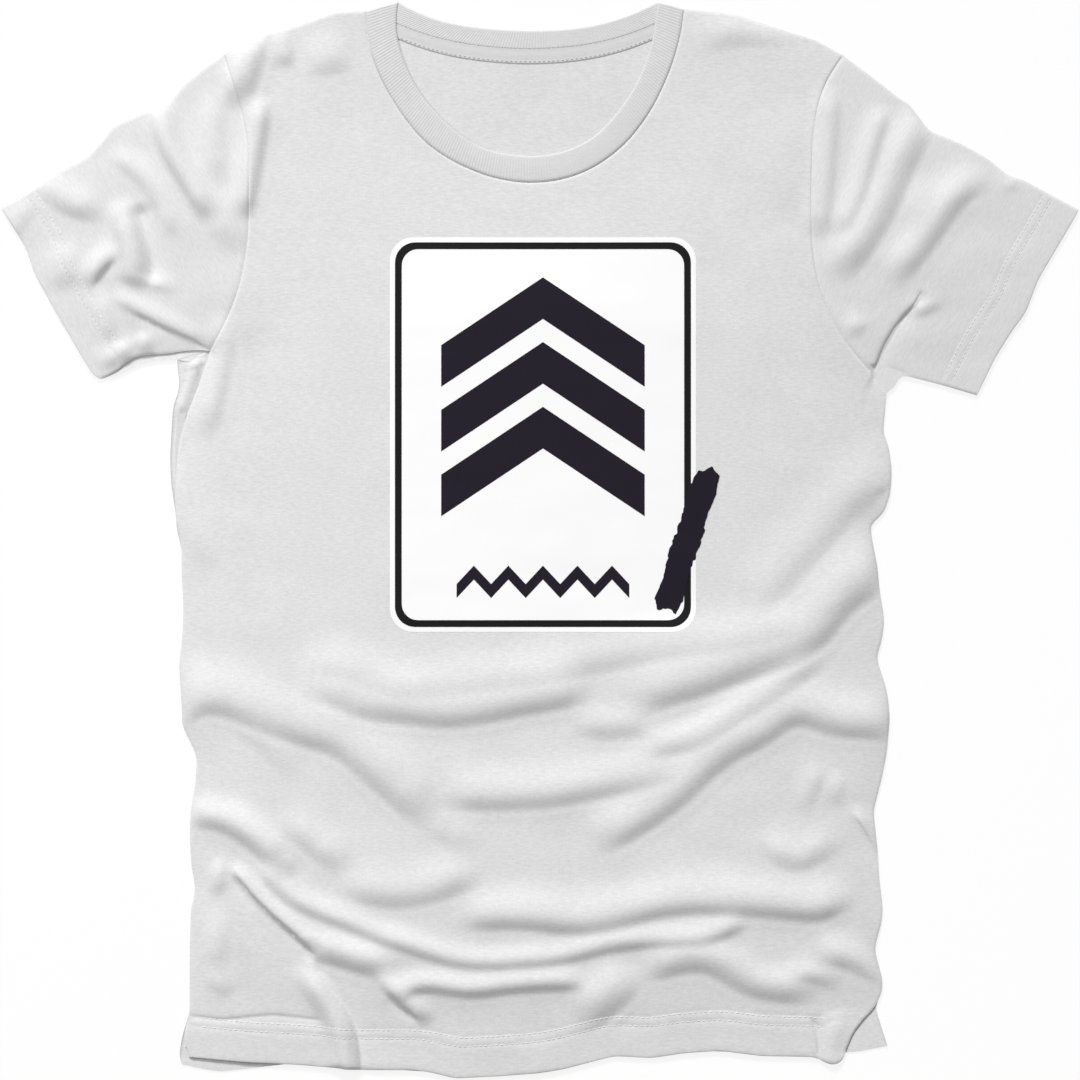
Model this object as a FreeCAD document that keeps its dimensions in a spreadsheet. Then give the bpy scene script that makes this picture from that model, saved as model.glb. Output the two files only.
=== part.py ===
# A short-sleeved crew-neck T-shirt that lies on its back, front up, with air inside.
#
# Millimetres. +X points to the wearer's left sleeve, +Y to the neck and +Z up. The origin
# is on the surface that the shirt lies on, under the middle of its outline.
#
# The shirt is cut from jersey: a front, a back and two sleeves. A ribbed band finishes the
# neck and a tape covers the back of its seam. Overlocked allowances join the cloth inside.
# The upper layer follows one draped surface, which rises from the closed edges over the
# trapped air and carries the folds. The lower layer lies flat.
import FreeCAD
import Part
import Sketcher

import math
import os

V = FreeCAD.Vector

# Sizes: name, value in millimetres, meaning
SIZES = [
    ("cloth", 0.6, "thickness of the jersey cloth"),
    ("rib_band", 1.4, "thickness of the doubled neck rib"),
    ("rib_proud", 0.4, "height of the rib above the cloth beside it"),
    ("tape_band", 0.5, "thickness of the neck tape"),
    ("tape_width", 9.2, "width of the neck tape"),
    ("seam_bulk", 0.9, "thickness of an overlocked seam allowance"),
    ("seam_allowance", 6, "width of an overlocked seam allowance"),
    ("ink", 0.2, "thickness of one layer of print"),
    ("edge_slack", 1.9, "room between the two layers of cloth at a closed edge"),
    ("air_gap", 8, "height of the air trapped between front and back"),
    ("mouth_gap", 5.5, "height of the air at the hem, the cuffs and the neck"),
    ("edge_softness", 32, "distance from a closed edge over which the cloth rises"),
    ("mouth_softness", 55, "distance from a mouth over which its height changes"),
    ("fold_height", 5.5, "height of the highest fold"),
    ("fold_steep", 20, "half width of a fold on its steep flank"),
    ("fold_gentle", 38, "half width of a fold on its gentle flank"),
    ("chest_width", 457, "side to side below the armholes"),
    ("body_shift", -5, "middle of the body, from the middle of the cuffs"),
    ("shirt_length", 702, "hem to the top of the neck band, as it lies"),
    ("sleeve_span", 702, "cuff tip to cuff tip, as it lies"),
    ("sleeve_drop", 100, "armhole top down to the cuff tip"),
    ("cuff_opening", 133, "length of the flat sleeve opening"),
    ("shoulder_width", 402.4, "armhole top to armhole top"),
    ("shoulder_drop", 36, "top of the neck band down to the armhole tops"),
    ("armhole_depth", 208.4, "armhole top down to the mean height of the armpits"),
    ("neck_width", 207, "neck point to neck point, outside the rib"),
    ("neck_shift", -9.9, "middle of the neck, from the middle of the cuffs"),
    ("neck_drop", 119.6, "top of the neck band down to the front neck seam"),
    ("back_neck_drop", 32.5, "top of the neck band down to the back neck seam"),
    ("rib_width", 18, "width of the neck rib at the front"),
    ("back_rib_width", 12.5, "width of the neck rib that shows at the back"),
    ("hem_depth", 26, "depth of the turned hem"),
    ("cuff_depth", 24, "depth of the turned sleeve hems"),
    ("print_width", 198.4, "width of the white print field"),
    ("print_height", 256, "height of the white print field"),
    ("print_corner", 15, "corner radius of the white print field"),
    ("print_shift", 1.9, "middle of the print, from the middle of the cuffs"),
    ("print_below_neck", 35, "front neck seam down to the print field"),
    ("border_inset", 3.2, "white edge outside the printed border"),
    ("border_line", 4.4, "width of the printed border"),
    ("chevron_width", 132, "width of a printed chevron"),
    ("chevron_rise", 44, "height of a chevron's slope"),
    ("chevron_bar", 27, "height of a chevron's bar"),
    ("chevron_gap", 15, "space between the chevrons"),
    ("zigzag_width", 112, "width of the printed zigzag"),
    ("zigzag_rise", 12, "height of one tooth of the printed zigzag"),
    ("zigzag_bar", 9, "height of the zigzag's bar"),
    ("motif_top", 26, "top of the print field down to the first chevron"),
    ("zigzag_up", 22, "bottom of the print field up to the zigzag"),
    ("stroke_width", 17, "width of the printed brush stroke"),
    ("stroke_length", 96, "length of the printed brush stroke"),
    ("stroke_in", 20, "edge of the print field in to the start of the stroke"),
    ("stroke_up", 14, "bottom of the print field up to the start of the stroke"),
]

# Curves between two corners of the pattern. Each point is a share of the way from the first
# corner to the second, and its offset to the left of that way in hundredths of the way.
RIGHT_SIDE = ((0.13, -1.2), (0.32, 0.5), (0.45, -0.1), (0.57, 1.8), (0.68, 1.3), (0.77, 1.7),
              (0.93, 1.0))
LEFT_SIDE = ((0.10, 1.4), (0.22, 0.9), (0.36, 1.8), (0.49, -0.4), (0.62, 0.8), (0.79, 2.0),
             (0.90, -0.6))
HEM = ((0.10, -0.9), (0.22, -1.0), (0.39, -2.9), (0.53, -2.1), (0.66, -0.3), (0.80, -0.3),
       (0.925, -2.1))
BACK_HEM = ((0.10, -1.7), (0.22, -1.6), (0.39, -2.9), (0.53, -2.1), (0.66, -0.3),
            (0.80, -0.3), (0.925, -2.1))
RIGHT_ARMHOLE = ((0.16, 8.3), (0.38, 14.8), (0.62, 17.0), (0.82, 14.8), (0.94, 8.3))
LEFT_ARMHOLE = ((0.12, -8.1), (0.30, -13.1), (0.52, -16.0), (0.74, -13.8), (0.90, -6.3))
RIGHT_SLEEVE_TOP = ((0.22, 1.9), (0.45, -0.7), (0.68, 2.0), (0.86, 0.6))
LEFT_SLEEVE_TOP = ((0.22, -1.4), (0.42, -4.8), (0.62, -2.7), (0.82, -2.2))
RIGHT_CUFF = ((0.33, -0.5), (0.75, -2.2))
LEFT_CUFF = ((0.36, -1.0), (0.70, 0.3))
RIGHT_UNDERARM = ((0.25, 0.4), (0.65, 5.7))
LEFT_UNDERARM = ((0.35, -8.4), (0.75, -16.1))
RIGHT_SHOULDER = ((0.1, 1.9), (0.42, 4.9), (0.78, 4.7), (0.9, 2.7))
LEFT_SHOULDER = ((0.1, 2.2), (0.33, 5.4), (0.78, 4.3), (0.9, 2.4))

# The neck curves: a share of the way across, and a share of the curve's depth
NECK_SEAM = ((0.009, 0.20), (0.046, 0.40), (0.181, 0.755), (0.34, 0.93), (0.511, 1.0),
             (0.67, 0.95), (0.821, 0.768), (0.950, 0.38), (0.990, 0.14))
RIB_EDGE = ((-0.012, 0.10), (0.006, 0.32), (0.09, 0.609), (0.26, 0.89), (0.49, 1.0),
            (0.70, 0.93), (0.857, 0.695), (0.957, 0.38))
BACK_EDGE = ((0.12, 0.54), (0.316, 0.90), (0.524, 1.0), (0.709, 0.90), (0.88, 0.54))
BACK_SEAM = ((0.075, 0.28), (0.25, 0.76), (0.50, 1.0), (0.75, 0.82), (0.905, 0.405))

# Folds: a share of the fold height, and the foot of the steep flank. Each point of the foot
# is a share of the half chest from the middle of the body, and of the way up from the hem
# to the armhole tops. The high side is on the left of the way along the foot.
FOLDS = (
    (0.91, ((-0.99, 0.353), (-0.84, 0.363), (-0.50, 0.315), (-0.17, 0.219))),
    (0.73, ((-0.66, 0.378), (-0.26, 0.353), (0.17, 0.378))),
    (1.00, ((0.28, 0.351), (0.76, 0.417), (0.97, 0.479))),
    (1.00, ((0.20, 0.222), (0.39, 0.260), (0.55, 0.317), (0.76, 0.357), (1.00, 0.335))),
    (0.64, ((-0.30, 0.270), (0.02, 0.272), (0.32, 0.294))),
    (0.82, ((-0.20, 0.149), (0.20, 0.149), (0.42, 0.170), (0.94, 0.170))),
    (0.91, ((-0.85, 0.209), (-0.59, 0.117), (-0.13, 0.110), (0.26, 0.134))),
    (0.64, ((0.40, 0.105), (0.63, 0.086), (0.85, 0.083))),
    (0.64, ((-1.07, 0.944), (-1.06, 0.908), (-0.91, 0.824))),
    (0.64, ((-1.19, 0.761), (-0.91, 0.712))),
    (0.64, ((1.05, 0.782), (1.26, 0.866), (1.38, 0.869))),
)

# Spacing and reach of the points that carry the draped surface
DRAPE_STEP = 40
DRAPE_MARGIN = 30
# How far a cutting shape reaches past the cloth
BEYOND = 60
# Inset of the hollow of a sleeve, as a number of cloth thicknesses
HOLLOW_INSET = 3


doc = FreeCAD.newDocument("TShirt")
sheet = doc.addObject("Spreadsheet::Sheet", "Sizes")
for row, (alias, value, meaning) in enumerate(SIZES, 1):
    sheet.set("A%d" % row, meaning)
    sheet.set("B%d" % row, str(value))
    sheet.setAlias("B%d" % row, alias)
doc.recompute()


def size(alias):
    """The value of one size in the sheet."""
    return float(sheet.get(alias))


def course(a, b, shape, unit=None):
    """Points from a to b along a shape, its offsets in hundredths of the way or in a unit."""
    way = b - a
    left = V(-way.y, way.x, 0).normalize()
    unit = unit or way.Length / 100
    points = [a + way * share + left * (offset * unit) for share, offset in shape]
    return [a] + points + [b]


def curve(points):
    """A smooth curve through the points, or a straight line between two."""
    if len(points) == 2:
        return Part.LineSegment(points[0], points[1])
    spline = Part.BSplineCurve()
    spline.interpolate(points)
    return spline


def corner_points():
    """The corners of the pattern as the shirt lies, by name."""
    top = size("shirt_length") / 2
    hem = -top
    body = size("body_shift")
    neck = size("neck_shift")
    chest = size("chest_width") / 2
    shoulder_y = top - size("shoulder_drop")
    armpit_y = shoulder_y - size("armhole_depth")
    cuff_y = shoulder_y - size("sleeve_drop")
    shoulder = size("shoulder_width") / 2
    cuff_x = size("sleeve_span") / 2
    half_neck = size("neck_width") / 2
    rib = size("rib_width")
    opening = size("cuff_opening")
    corners = {
        "hem_right": V(body - chest + 0.8, hem + 10, 0),
        "hem_left": V(body + chest + 2.5, hem + 22, 0),
        "armpit_right": V(body - chest - 1.3, armpit_y + 11, 0),
        "armpit_left": V(body + chest + 1, armpit_y - 11, 0),
        "shoulder_right": V(body - shoulder, shoulder_y, 0),
        "shoulder_left": V(body + shoulder, shoulder_y, 0),
        "neck_right": V(neck - half_neck, top - 7.2, 0),
        "neck_left": V(neck + half_neck, top - 6, 0),
        "cuff_right": V(-cuff_x, cuff_y, 0),
        "cuff_left": V(cuff_x, cuff_y, 0),
    }
    corners["rib_right"] = corners["neck_right"] + V(rib + 3.1, 6.2, 0)
    corners["rib_left"] = corners["neck_left"] + V(0.8 - rib, 5, 0)
    corners["cuff_right_low"] = corners["cuff_right"] + V(0.489, -0.829, 0) * opening
    corners["cuff_left_low"] = corners["cuff_left"] + V(-0.504, -0.91, 0) * opening
    return corners


C = corner_points()
NECK_DEPTH = size("neck_drop") - 6.6
RIB_DEPTH = size("neck_drop") - size("rib_width") - 1.2
BACK_DEPTH = size("back_neck_drop") - 6.6
BACK_EDGE_DEPTH = size("back_neck_drop") - size("back_rib_width") - 1.2

# Every edge of the pattern, named by the wearer's side
POINTS = {
    "right_side": course(C["armpit_right"], C["hem_right"], RIGHT_SIDE),
    "left_side": course(C["hem_left"], C["armpit_left"], LEFT_SIDE),
    "hem": course(C["hem_right"], C["hem_left"], HEM),
    "back_hem": course(C["hem_right"], C["hem_left"], BACK_HEM),
    "right_armhole": course(C["shoulder_right"], C["armpit_right"], RIGHT_ARMHOLE),
    "left_armhole": course(C["shoulder_left"], C["armpit_left"], LEFT_ARMHOLE),
    "right_sleeve_top": course(C["shoulder_right"], C["cuff_right"], RIGHT_SLEEVE_TOP),
    "left_sleeve_top": course(C["shoulder_left"], C["cuff_left"], LEFT_SLEEVE_TOP),
    "right_cuff": course(C["cuff_right"], C["cuff_right_low"], RIGHT_CUFF),
    "left_cuff": course(C["cuff_left"], C["cuff_left_low"], LEFT_CUFF),
    "right_underarm": course(C["cuff_right_low"], C["armpit_right"], RIGHT_UNDERARM),
    "left_underarm": course(C["cuff_left_low"], C["armpit_left"], LEFT_UNDERARM),
    "right_shoulder": course(C["shoulder_right"], C["neck_right"], RIGHT_SHOULDER),
    "left_shoulder": course(C["neck_left"], C["shoulder_left"], LEFT_SHOULDER),
    "right_neck_fold": [C["neck_right"], C["rib_right"]],
    "left_neck_fold": [C["neck_left"], C["rib_left"]],
    "neck_seam": course(C["neck_right"], C["neck_left"], NECK_SEAM, -NECK_DEPTH),
    "rib_edge": course(C["rib_right"], C["rib_left"], RIB_EDGE, -RIB_DEPTH),
    "back_rib_edge": course(C["rib_right"], C["rib_left"], BACK_EDGE, -BACK_EDGE_DEPTH),
    "back_neck_seam": course(C["neck_right"], C["neck_left"], BACK_SEAM, -BACK_DEPTH),
}


def traced(*names):
    """A chain of points along edges of the pattern, for measuring distances."""
    chain = []
    for name in names:
        reverse = name.startswith("-")
        shape = curve(POINTS[name.lstrip("-")]).toShape()
        points = shape.discretize(Distance=9.0)
        chain += points[::-1] if reverse else points
    return [(p.x, p.y) for p in chain]


def nearest(x, y, chain):
    """Distance to a chain, the side it is seen from and the share of the chain there."""
    best = (1e9, 1.0, 0.0)
    for i, ((ax, ay), (bx, by)) in enumerate(zip(chain, chain[1:])):
        ux, uy = bx - ax, by - ay
        length = ux * ux + uy * uy
        if length < 1e-9:
            continue
        t = max(0.0, min(1.0, ((x - ax) * ux + (y - ay) * uy) / length))
        dx, dy = x - ax - t * ux, y - ay - t * uy
        distance = math.hypot(dx, dy)
        if distance < best[0]:
            side = 1.0 if ux * (y - ay) - uy * (x - ax) >= 0 else -1.0
            best = (distance, side, (i + t) / (len(chain) - 1))
    return best


def inside(x, y, loop):
    """Whether a point lies inside a closed loop."""
    odd = False
    for (ax, ay), (bx, by) in zip(loop, loop[1:] + loop[:1]):
        if (ay > y) != (by > y) and x < ax + (bx - ax) * (y - ay) / (by - ay):
            odd = not odd
    return odd


def along_body(share_x, share_y):
    """A point by its share of the half chest and of the way from hem to armhole tops."""
    hem = -size("shirt_length") / 2
    tops = C["shoulder_right"].y
    x = size("body_shift") + share_x * size("chest_width") / 2
    return (x, hem + share_y * (tops - hem))


class Drape:
    """The height of the upper cloth over the surface that the shirt lies on."""

    def __init__(self):
        out = size("chest_width")
        above = size("sleeve_drop") / 5
        below = 3 * above
        self.right = traced("right_cuff")[-1:] + traced("right_underarm", "right_side")
        self.left = traced("left_side", "-left_underarm")
        self.right_top = traced("-right_sleeve_top", "right_shoulder", "right_neck_fold")
        self.left_top = traced("-left_neck_fold", "left_shoulder", "left_sleeve_top")
        self.closed = (self.right, self.left, self.right_top, self.left_top)
        self.hem = traced("hem")
        self.cuffs = (traced("right_cuff"), traced("left_cuff"))
        self.neck = traced("rib_edge")
        self.folds = [
            (share, [along_body(*point) for point in foot]) for share, foot in FOLDS
        ]
        self.loop = (
            self.right_top
            + [(self.right_top[-1][0], out), (self.left_top[0][0], out)]
            + self.left_top
            + [(out, self.left_top[-1][1] - above), (out, self.left[-1][1] - below)]
            + self.left[::-1]
            + [(self.left[0][0], -out), (self.right[-1][0], -out)]
            + self.right[::-1]
            + [(-out, self.right[0][1] - below), (-out, self.right_top[0][1] - above)]
        )

    def height(self, x, y):
        """The height of the cloth's upper face over one point."""
        depth = min(nearest(x, y, chain)[0] for chain in self.closed)
        to_hem = nearest(x, y, self.hem)[0]
        to_cuff = min(nearest(x, y, chain)[0] for chain in self.cuffs)
        to_neck = nearest(x, y, self.neck)[0]
        edge = self.edge_height(x, y, to_hem, to_cuff)
        mouth = min(to_hem, to_cuff, to_neck) / size("mouth_softness")
        gap = size("mouth_gap")
        gap += (size("air_gap") - gap) * (1 - math.exp(-mouth * mouth))
        if not inside(x, y, self.loop):
            return edge - gap * min(depth, BEYOND) / size("edge_softness")
        rise = 1 - math.exp(-depth / size("edge_softness"))
        return edge + (gap + self.folded(x, y)) * rise

    def edge_height(self, x, y, to_hem, to_cuff):
        """The height of a closed edge, which carries turned hems and the ends of the rib."""
        hem = 1 - max(0.0, to_hem - size("hem_depth")) / DRAPE_STEP
        cuff = 1 - max(0.0, to_cuff - size("cuff_depth")) / DRAPE_STEP
        edge = size("edge_slack") + 2 * size("cloth") * (1 + max(0.0, hem, cuff))
        rib = size("edge_slack") + 2 * size("rib_band") - size("rib_proud")
        ends = (self.right_top[-1], self.left_top[0])
        to_rib = min(math.dist((x, y), end) for end in ends)
        return edge + max(0.0, rib - edge) * math.exp(-((to_rib / 40) ** 2))

    def folded(self, x, y):
        """The height that the folds add."""
        total = 0.0
        for share, foot in self.folds:
            distance, side, along = nearest(x, y, foot)
            if distance > 4 * size("fold_gentle"):
                continue
            past = distance * side - size("fold_steep")
            width = size("fold_steep") if past < 0 else size("fold_gentle")
            ends = min(1.0, 5 * along, 5 * (1 - along))
            total += share * ends * math.exp(-((past / width) ** 2))
        return size("fold_height") * min(total, 1.3)

    def face(self):
        """The draped surface through a square grid of points."""
        reach_x = size("sleeve_span") / 2 + DRAPE_MARGIN
        reach_y = size("shirt_length") / 2 + DRAPE_MARGIN
        columns = int(math.ceil(2 * reach_x / DRAPE_STEP)) + 1
        rows = int(math.ceil(2 * reach_y / DRAPE_STEP)) + 1
        xs = [reach_x * (2 * i / (columns - 1) - 1) for i in range(columns)]
        ys = [reach_y * (2 * j / (rows - 1) - 1) for j in range(rows)]
        grid = [[V(x, y, self.height(x, y)) for y in ys] for x in xs]
        across, across_counts = even_knots(columns)
        along, along_counts = even_knots(rows)
        surface = Part.BSplineSurface()
        surface.buildFromPolesMultsKnots(
            grid, across_counts, along_counts, across, along, False, False, 3, 3
        )
        return surface.toShape()


def even_knots(poles):
    """Even knots of a clamped cubic spline, and how often each counts."""
    knots = [float(i) for i in range(poles - 2)]
    return knots, [4] + [1] * (poles - 4) + [4]


drape = doc.addObject("Part::Feature", "Drape")
drape.Shape = Drape().face()


def cloth_layer(name, lift, thickness):
    """Cloth that follows the drape: its top above the drape and its thickness, as formulas."""
    layer = doc.addObject("Part::Extrusion", name)
    layer.Base = drape
    layer.DirMode = "Custom"
    layer.Dir = V(0, 0, -1)
    layer.Solid = True
    layer.setExpression("LengthFwd", thickness)
    layer.setExpression("Placement.Base.z", lift)
    return layer


def sketch(name, curves):
    """A closed outline on the lying surface."""
    outline = doc.addObject("Sketcher::SketchObject", name)
    for piece in curves:
        outline.addGeometry(piece)
    return outline


def prism(name, curves, bottom, height):
    """An outline raised from a bottom through a height, both given as formulas."""
    block = doc.addObject("Part::Extrusion", name)
    block.Base = sketch(name + "_outline", curves)
    block.DirMode = "Custom"
    block.Dir = V(0, 0, 1)
    block.Solid = True
    block.setExpression("LengthFwd", height)
    block.setExpression("Placement.Base.z", bottom)
    return block


def edges(*names):
    """The curves of named edges of the pattern."""
    return [curve(POINTS[name]) for name in names]


def loop(points):
    """Straight lines round a closed row of points."""
    return [Part.LineSegment(a, b) for a, b in zip(points, points[1:] + points[:1])]


def common(name, base, *tools):
    """What all the shapes share."""
    for count, tool in enumerate(tools, 1):
        last = count == len(tools)
        result = doc.addObject("Part::Common", name if last else name + "Part%d" % count)
        result.Base = base
        result.Tool = tool
        base = result
    return base


def cut(name, base, tool):
    """A shape less another."""
    result = doc.addObject("Part::Cut", name)
    result.Base = base
    result.Tool = tool
    return result


def fuse(name, *shapes):
    """Shapes joined into one."""
    result = doc.addObject("Part::MultiFuse", name)
    result.Shapes = list(shapes)
    return result


nodes = []


def piece(shape, label):
    """Names a finished piece of the shirt."""
    shape.Label = label
    nodes.append(shape)
    return shape


TALL = "%d" % BEYOND
below_top = cloth_layer("BelowTop", "0", TALL)
below_cloth = cloth_layer("BelowCloth", "-Sizes.cloth", TALL)
below_rib = cloth_layer("BelowRib", "Sizes.rib_proud", TALL)
doubled_layer = cloth_layer("DoubledLayer", "0", "2 * Sizes.cloth")
rib_layer = cloth_layer("RibLayer", "Sizes.rib_proud", "Sizes.rib_band")
first_ink = cloth_layer("FirstInk", "Sizes.ink", "Sizes.ink")
second_ink = cloth_layer("SecondInk", "2 * Sizes.ink", "Sizes.ink")
third_ink = cloth_layer("ThirdInk", "3 * Sizes.ink", "3 * Sizes.ink")


def past_hem(name, edge, depth, side, bottom):
    """The region of the shirt past a turned hem, wider than the cloth."""
    line = POINTS[edge]
    way = (line[-1] - line[0]).normalize()
    inward = V(-way.y, way.x, 0) * side
    line = [point + inward * depth for point in line]
    first = line[0] - way * BEYOND
    last = line[-1] + way * BEYOND
    far = inward * (size("shirt_length") + BEYOND)
    outline = [
        Part.LineSegment(first, line[0]),
        curve(line),
        Part.LineSegment(line[-1], last),
        Part.LineSegment(last, last + far),
        Part.LineSegment(last + far, first + far),
        Part.LineSegment(first + far, first),
    ]
    return prism(name, outline, bottom, TALL)


def between(upper, lower):
    """The outline between two rows of points that run the same way."""
    return [
        curve(upper),
        curve(lower),
        Part.LineSegment(upper[0], lower[0]),
        Part.LineSegment(upper[-1], lower[-1]),
    ]


def moved(points, distance):
    """Points moved to the left of their way."""
    way = (points[-1] - points[0]).normalize()
    return [point + V(-way.y, way.x, 0) * distance for point in points]


def make_back():
    """The back panel, flat on the surface, with its hem turned to the inside."""
    outline = edges(
        "back_hem", "left_side", "left_armhole", "left_shoulder",
        "back_neck_seam", "right_shoulder", "right_armhole", "right_side",
    )
    block = prism("BackBlock", outline, "0", "2 * Sizes.cloth")
    single = past_hem("PastBackHem", "back_hem", size("hem_depth"), 1, "Sizes.cloth")
    return piece(cut("Back", block, single), "back_panel")


def make_front():
    """The front panel on the drape, with its hem turned to the inside."""
    outline = edges(
        "hem", "left_side", "left_armhole", "left_shoulder",
        "neck_seam", "right_shoulder", "right_armhole", "right_side",
    )
    block = prism("FrontBlock", outline, "0", TALL)
    doubled = common("FrontDoubled", block, doubled_layer)
    past = past_hem("PastHem", "hem", size("hem_depth"), 1, "0")
    single = common("FrontSingle", past, below_cloth)
    return piece(cut("Front", doubled, single), "front_panel")


def make_sleeve(side):
    """A sleeve: a flattened tube, folded along its top and open at the cuff and armhole."""
    sign = 1 if side == "right" else -1
    names = [side + part for part in ("_sleeve_top", "_cuff", "_underarm", "_armhole")]
    block = prism(side + "Block", edges(*names), "0", TALL)
    tube = common(side + "Tube", block, below_top)
    inset = sign * HOLLOW_INSET * size("cloth")
    upper = lengthened(moved(POINTS[side + "_sleeve_top"], inset))
    lower = lengthened(moved(POINTS[side + "_underarm"], inset))
    arm = prism(side + "Arm", between(upper, lower[::-1]), "Sizes.cloth", TALL)
    hollow = common(side + "Hollow", arm, below_cloth)
    piece(cut(side + "Sleeve", tube, hollow), side + "_sleeve")


def lengthened(points):
    """Points with a straight run past both ends."""
    way = (points[-1] - points[0]).normalize() * BEYOND
    return [points[0] - way] + points[:1] + points[1:-1] + points[-1:] + [points[-1] + way]


def make_flat_seam(name, edge, sign, label):
    """An allowance that lies on the back panel beside a closed edge."""
    line = POINTS[edge][1:-1]
    first = sign * size("cloth")
    second = sign * (size("cloth") + size("seam_allowance"))
    near, far = moved(line, first), moved(line, second)
    outline = loop(near + far[::-1])
    piece(prism(name, outline, "Sizes.cloth", "Sizes.seam_bulk"), label)


def make_collar():
    """The neck rib: a front band on the drape and a back band, joined at two folds."""
    front = edges("neck_seam", "rib_edge", "right_neck_fold", "left_neck_fold")
    back = edges("back_neck_seam", "back_rib_edge", "right_neck_fold", "left_neck_fold")
    band = common("FrontBand", prism("FrontBandBlock", front, "0", TALL), rib_layer)
    flat = prism("BackBand", back, "0", "Sizes.rib_band")
    folds = []
    for side, sign in (("right", -1), ("left", 1)):
        line = POINTS[side + "_neck_fold"]
        outline = between(line, moved(line, sign * size("rib_band")))
        block = prism(side + "FoldBlock", outline, "0", TALL)
        folds.append(common(side + "Fold", block, below_rib))
    piece(fuse("Collar", band, flat, *folds), "collar_rib")


def make_tape():
    """The tape over the back neck seam, on the inside of the back panel."""
    upper = [p - V(0, size("cloth"), 0) for p in POINTS["back_neck_seam"][1:-1]]
    lower = [p - V(0, size("tape_width"), 0) for p in upper]
    tape = prism("Tape", between(upper, lower), "Sizes.cloth", "Sizes.tape_band")
    piece(tape, "neck_tape")


PRINT_TOP = size("shirt_length") / 2 - size("neck_drop") - size("print_below_neck")
PRINT_LOW = PRINT_TOP - size("print_height")
PRINT_X = size("print_shift")
PRINT_Y = (
    "Sizes.shirt_length / 2 - Sizes.neck_drop - Sizes.print_below_neck"
    " - Sizes.print_height / 2"
)


def rounded_block(name, inset):
    """A block with rounded corners, the print field less an inset given as a formula."""
    body = doc.addObject("PartDesign::Body", name)
    outline = body.newObject("Sketcher::SketchObject", name + "Outline")
    plane = [f for f in body.Origin.OriginFeatures if f.Role == "XY_Plane"][0]
    outline.AttachmentSupport = (plane, [""])
    outline.MapMode = "FlatFace"
    wide, high = size("print_width") / 2, size("print_height") / 2
    corners = [V(-wide, -high, 0), V(wide, -high, 0), V(wide, high, 0), V(-wide, high, 0)]
    for line in loop(corners):
        outline.addGeometry(line)
    for i in range(4):
        outline.addConstraint(Sketcher.Constraint("Coincident", i, 2, (i + 1) % 4, 1))
    for i in (0, 2):
        outline.addConstraint(Sketcher.Constraint("Horizontal", i))
        outline.addConstraint(Sketcher.Constraint("Vertical", i + 1))
    outline.addConstraint(Sketcher.Constraint("Symmetric", 0, 1, 2, 1, -1, 1))
    across = outline.addConstraint(Sketcher.Constraint("DistanceX", 0, 1, 0, 2, 2 * wide))
    up = outline.addConstraint(Sketcher.Constraint("DistanceY", 1, 1, 1, 2, 2 * high))
    outline.setExpression("Constraints[%d]" % across, "Sizes.print_width - 2 * (%s)" % inset)
    outline.setExpression("Constraints[%d]" % up, "Sizes.print_height - 2 * (%s)" % inset)
    pad = body.newObject("PartDesign::Pad", name + "Pad")
    pad.Profile = outline
    pad.setExpression("Length", TALL)
    doc.recompute()
    upright = [
        "Edge%d" % (i + 1)
        for i, edge in enumerate(pad.Shape.Edges)
        if abs(edge.tangentAt(edge.FirstParameter).z) > 0.9
    ]
    rounding = body.newObject("PartDesign::Fillet", name + "Corners")
    rounding.Base = (pad, upright)
    rounding.setExpression("Radius", "Sizes.print_corner - (%s)" % inset)
    body.Tip = rounding
    body.setExpression("Placement.Base.x", "Sizes.print_shift")
    body.setExpression("Placement.Base.y", PRINT_Y)
    return body


def make_print_ground():
    """The white field and the border line printed on it."""
    field = rounded_block("Field", "0")
    piece(common("FieldInk", field, first_ink), "print_field")
    outer = rounded_block("BorderOuter", "Sizes.border_inset")
    inner = rounded_block("BorderInner", "Sizes.border_inset + Sizes.border_line")
    ring = cut("BorderRing", outer, inner)
    piece(common("BorderInk", ring, second_ink), "print_border")


def make_motif(name, points, label):
    """A dark shape printed on the white field."""
    block = prism(name + "Block", loop(points), "0", TALL)
    piece(common(name, block, second_ink), label)


def make_chevrons():
    """Three chevrons that point to the neck, one below another."""
    half = size("chevron_width") / 2
    rise = size("chevron_rise")
    bar = size("chevron_bar")
    top = PRINT_TOP - size("motif_top")
    for number, place in enumerate(("upper", "middle", "lower")):
        y = top - number * (bar + size("chevron_gap"))
        points = [
            V(PRINT_X - half, y - rise, 0),
            V(PRINT_X, y, 0),
            V(PRINT_X + half, y - rise, 0),
            V(PRINT_X + half, y - rise - bar, 0),
            V(PRINT_X, y - bar, 0),
            V(PRINT_X - half, y - rise - bar, 0),
        ]
        make_motif("Chevron%d" % number, points, "print_chevron_" + place)


def make_zigzag():
    """A zigzag band in the lower part of the field."""
    wide = size("zigzag_width")
    low = PRINT_LOW + size("zigzag_up")
    turns = 10
    upper = []
    for i in range(turns + 1):
        y = low + size("zigzag_bar") + (size("zigzag_rise") if i % 2 else 0)
        upper.append(V(PRINT_X - wide / 2 + wide * i / turns, y, 0))
    lower = [point - V(0, size("zigzag_bar"), 0) for point in upper]
    make_motif("Zigzag", upper + lower[::-1], "print_zigzag")


# The brush stroke: shares of its length, and shares of its width to each side
BRUSH_ONE_SIDE = ((-0.01, 0.3), (0.05, 0.52), (0.2, 0.44), (0.4, 0.55), (0.62, 0.46),
                  (0.83, 0.56), (0.97, 0.4))
BRUSH_OTHER_SIDE = ((1.01, -0.1), (0.98, -0.44), (0.84, -0.52), (0.7, -0.44), (0.5, -0.54),
                    (0.3, -0.45), (0.1, -0.54), (0.0, -0.42), (0.02, -0.1))


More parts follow.
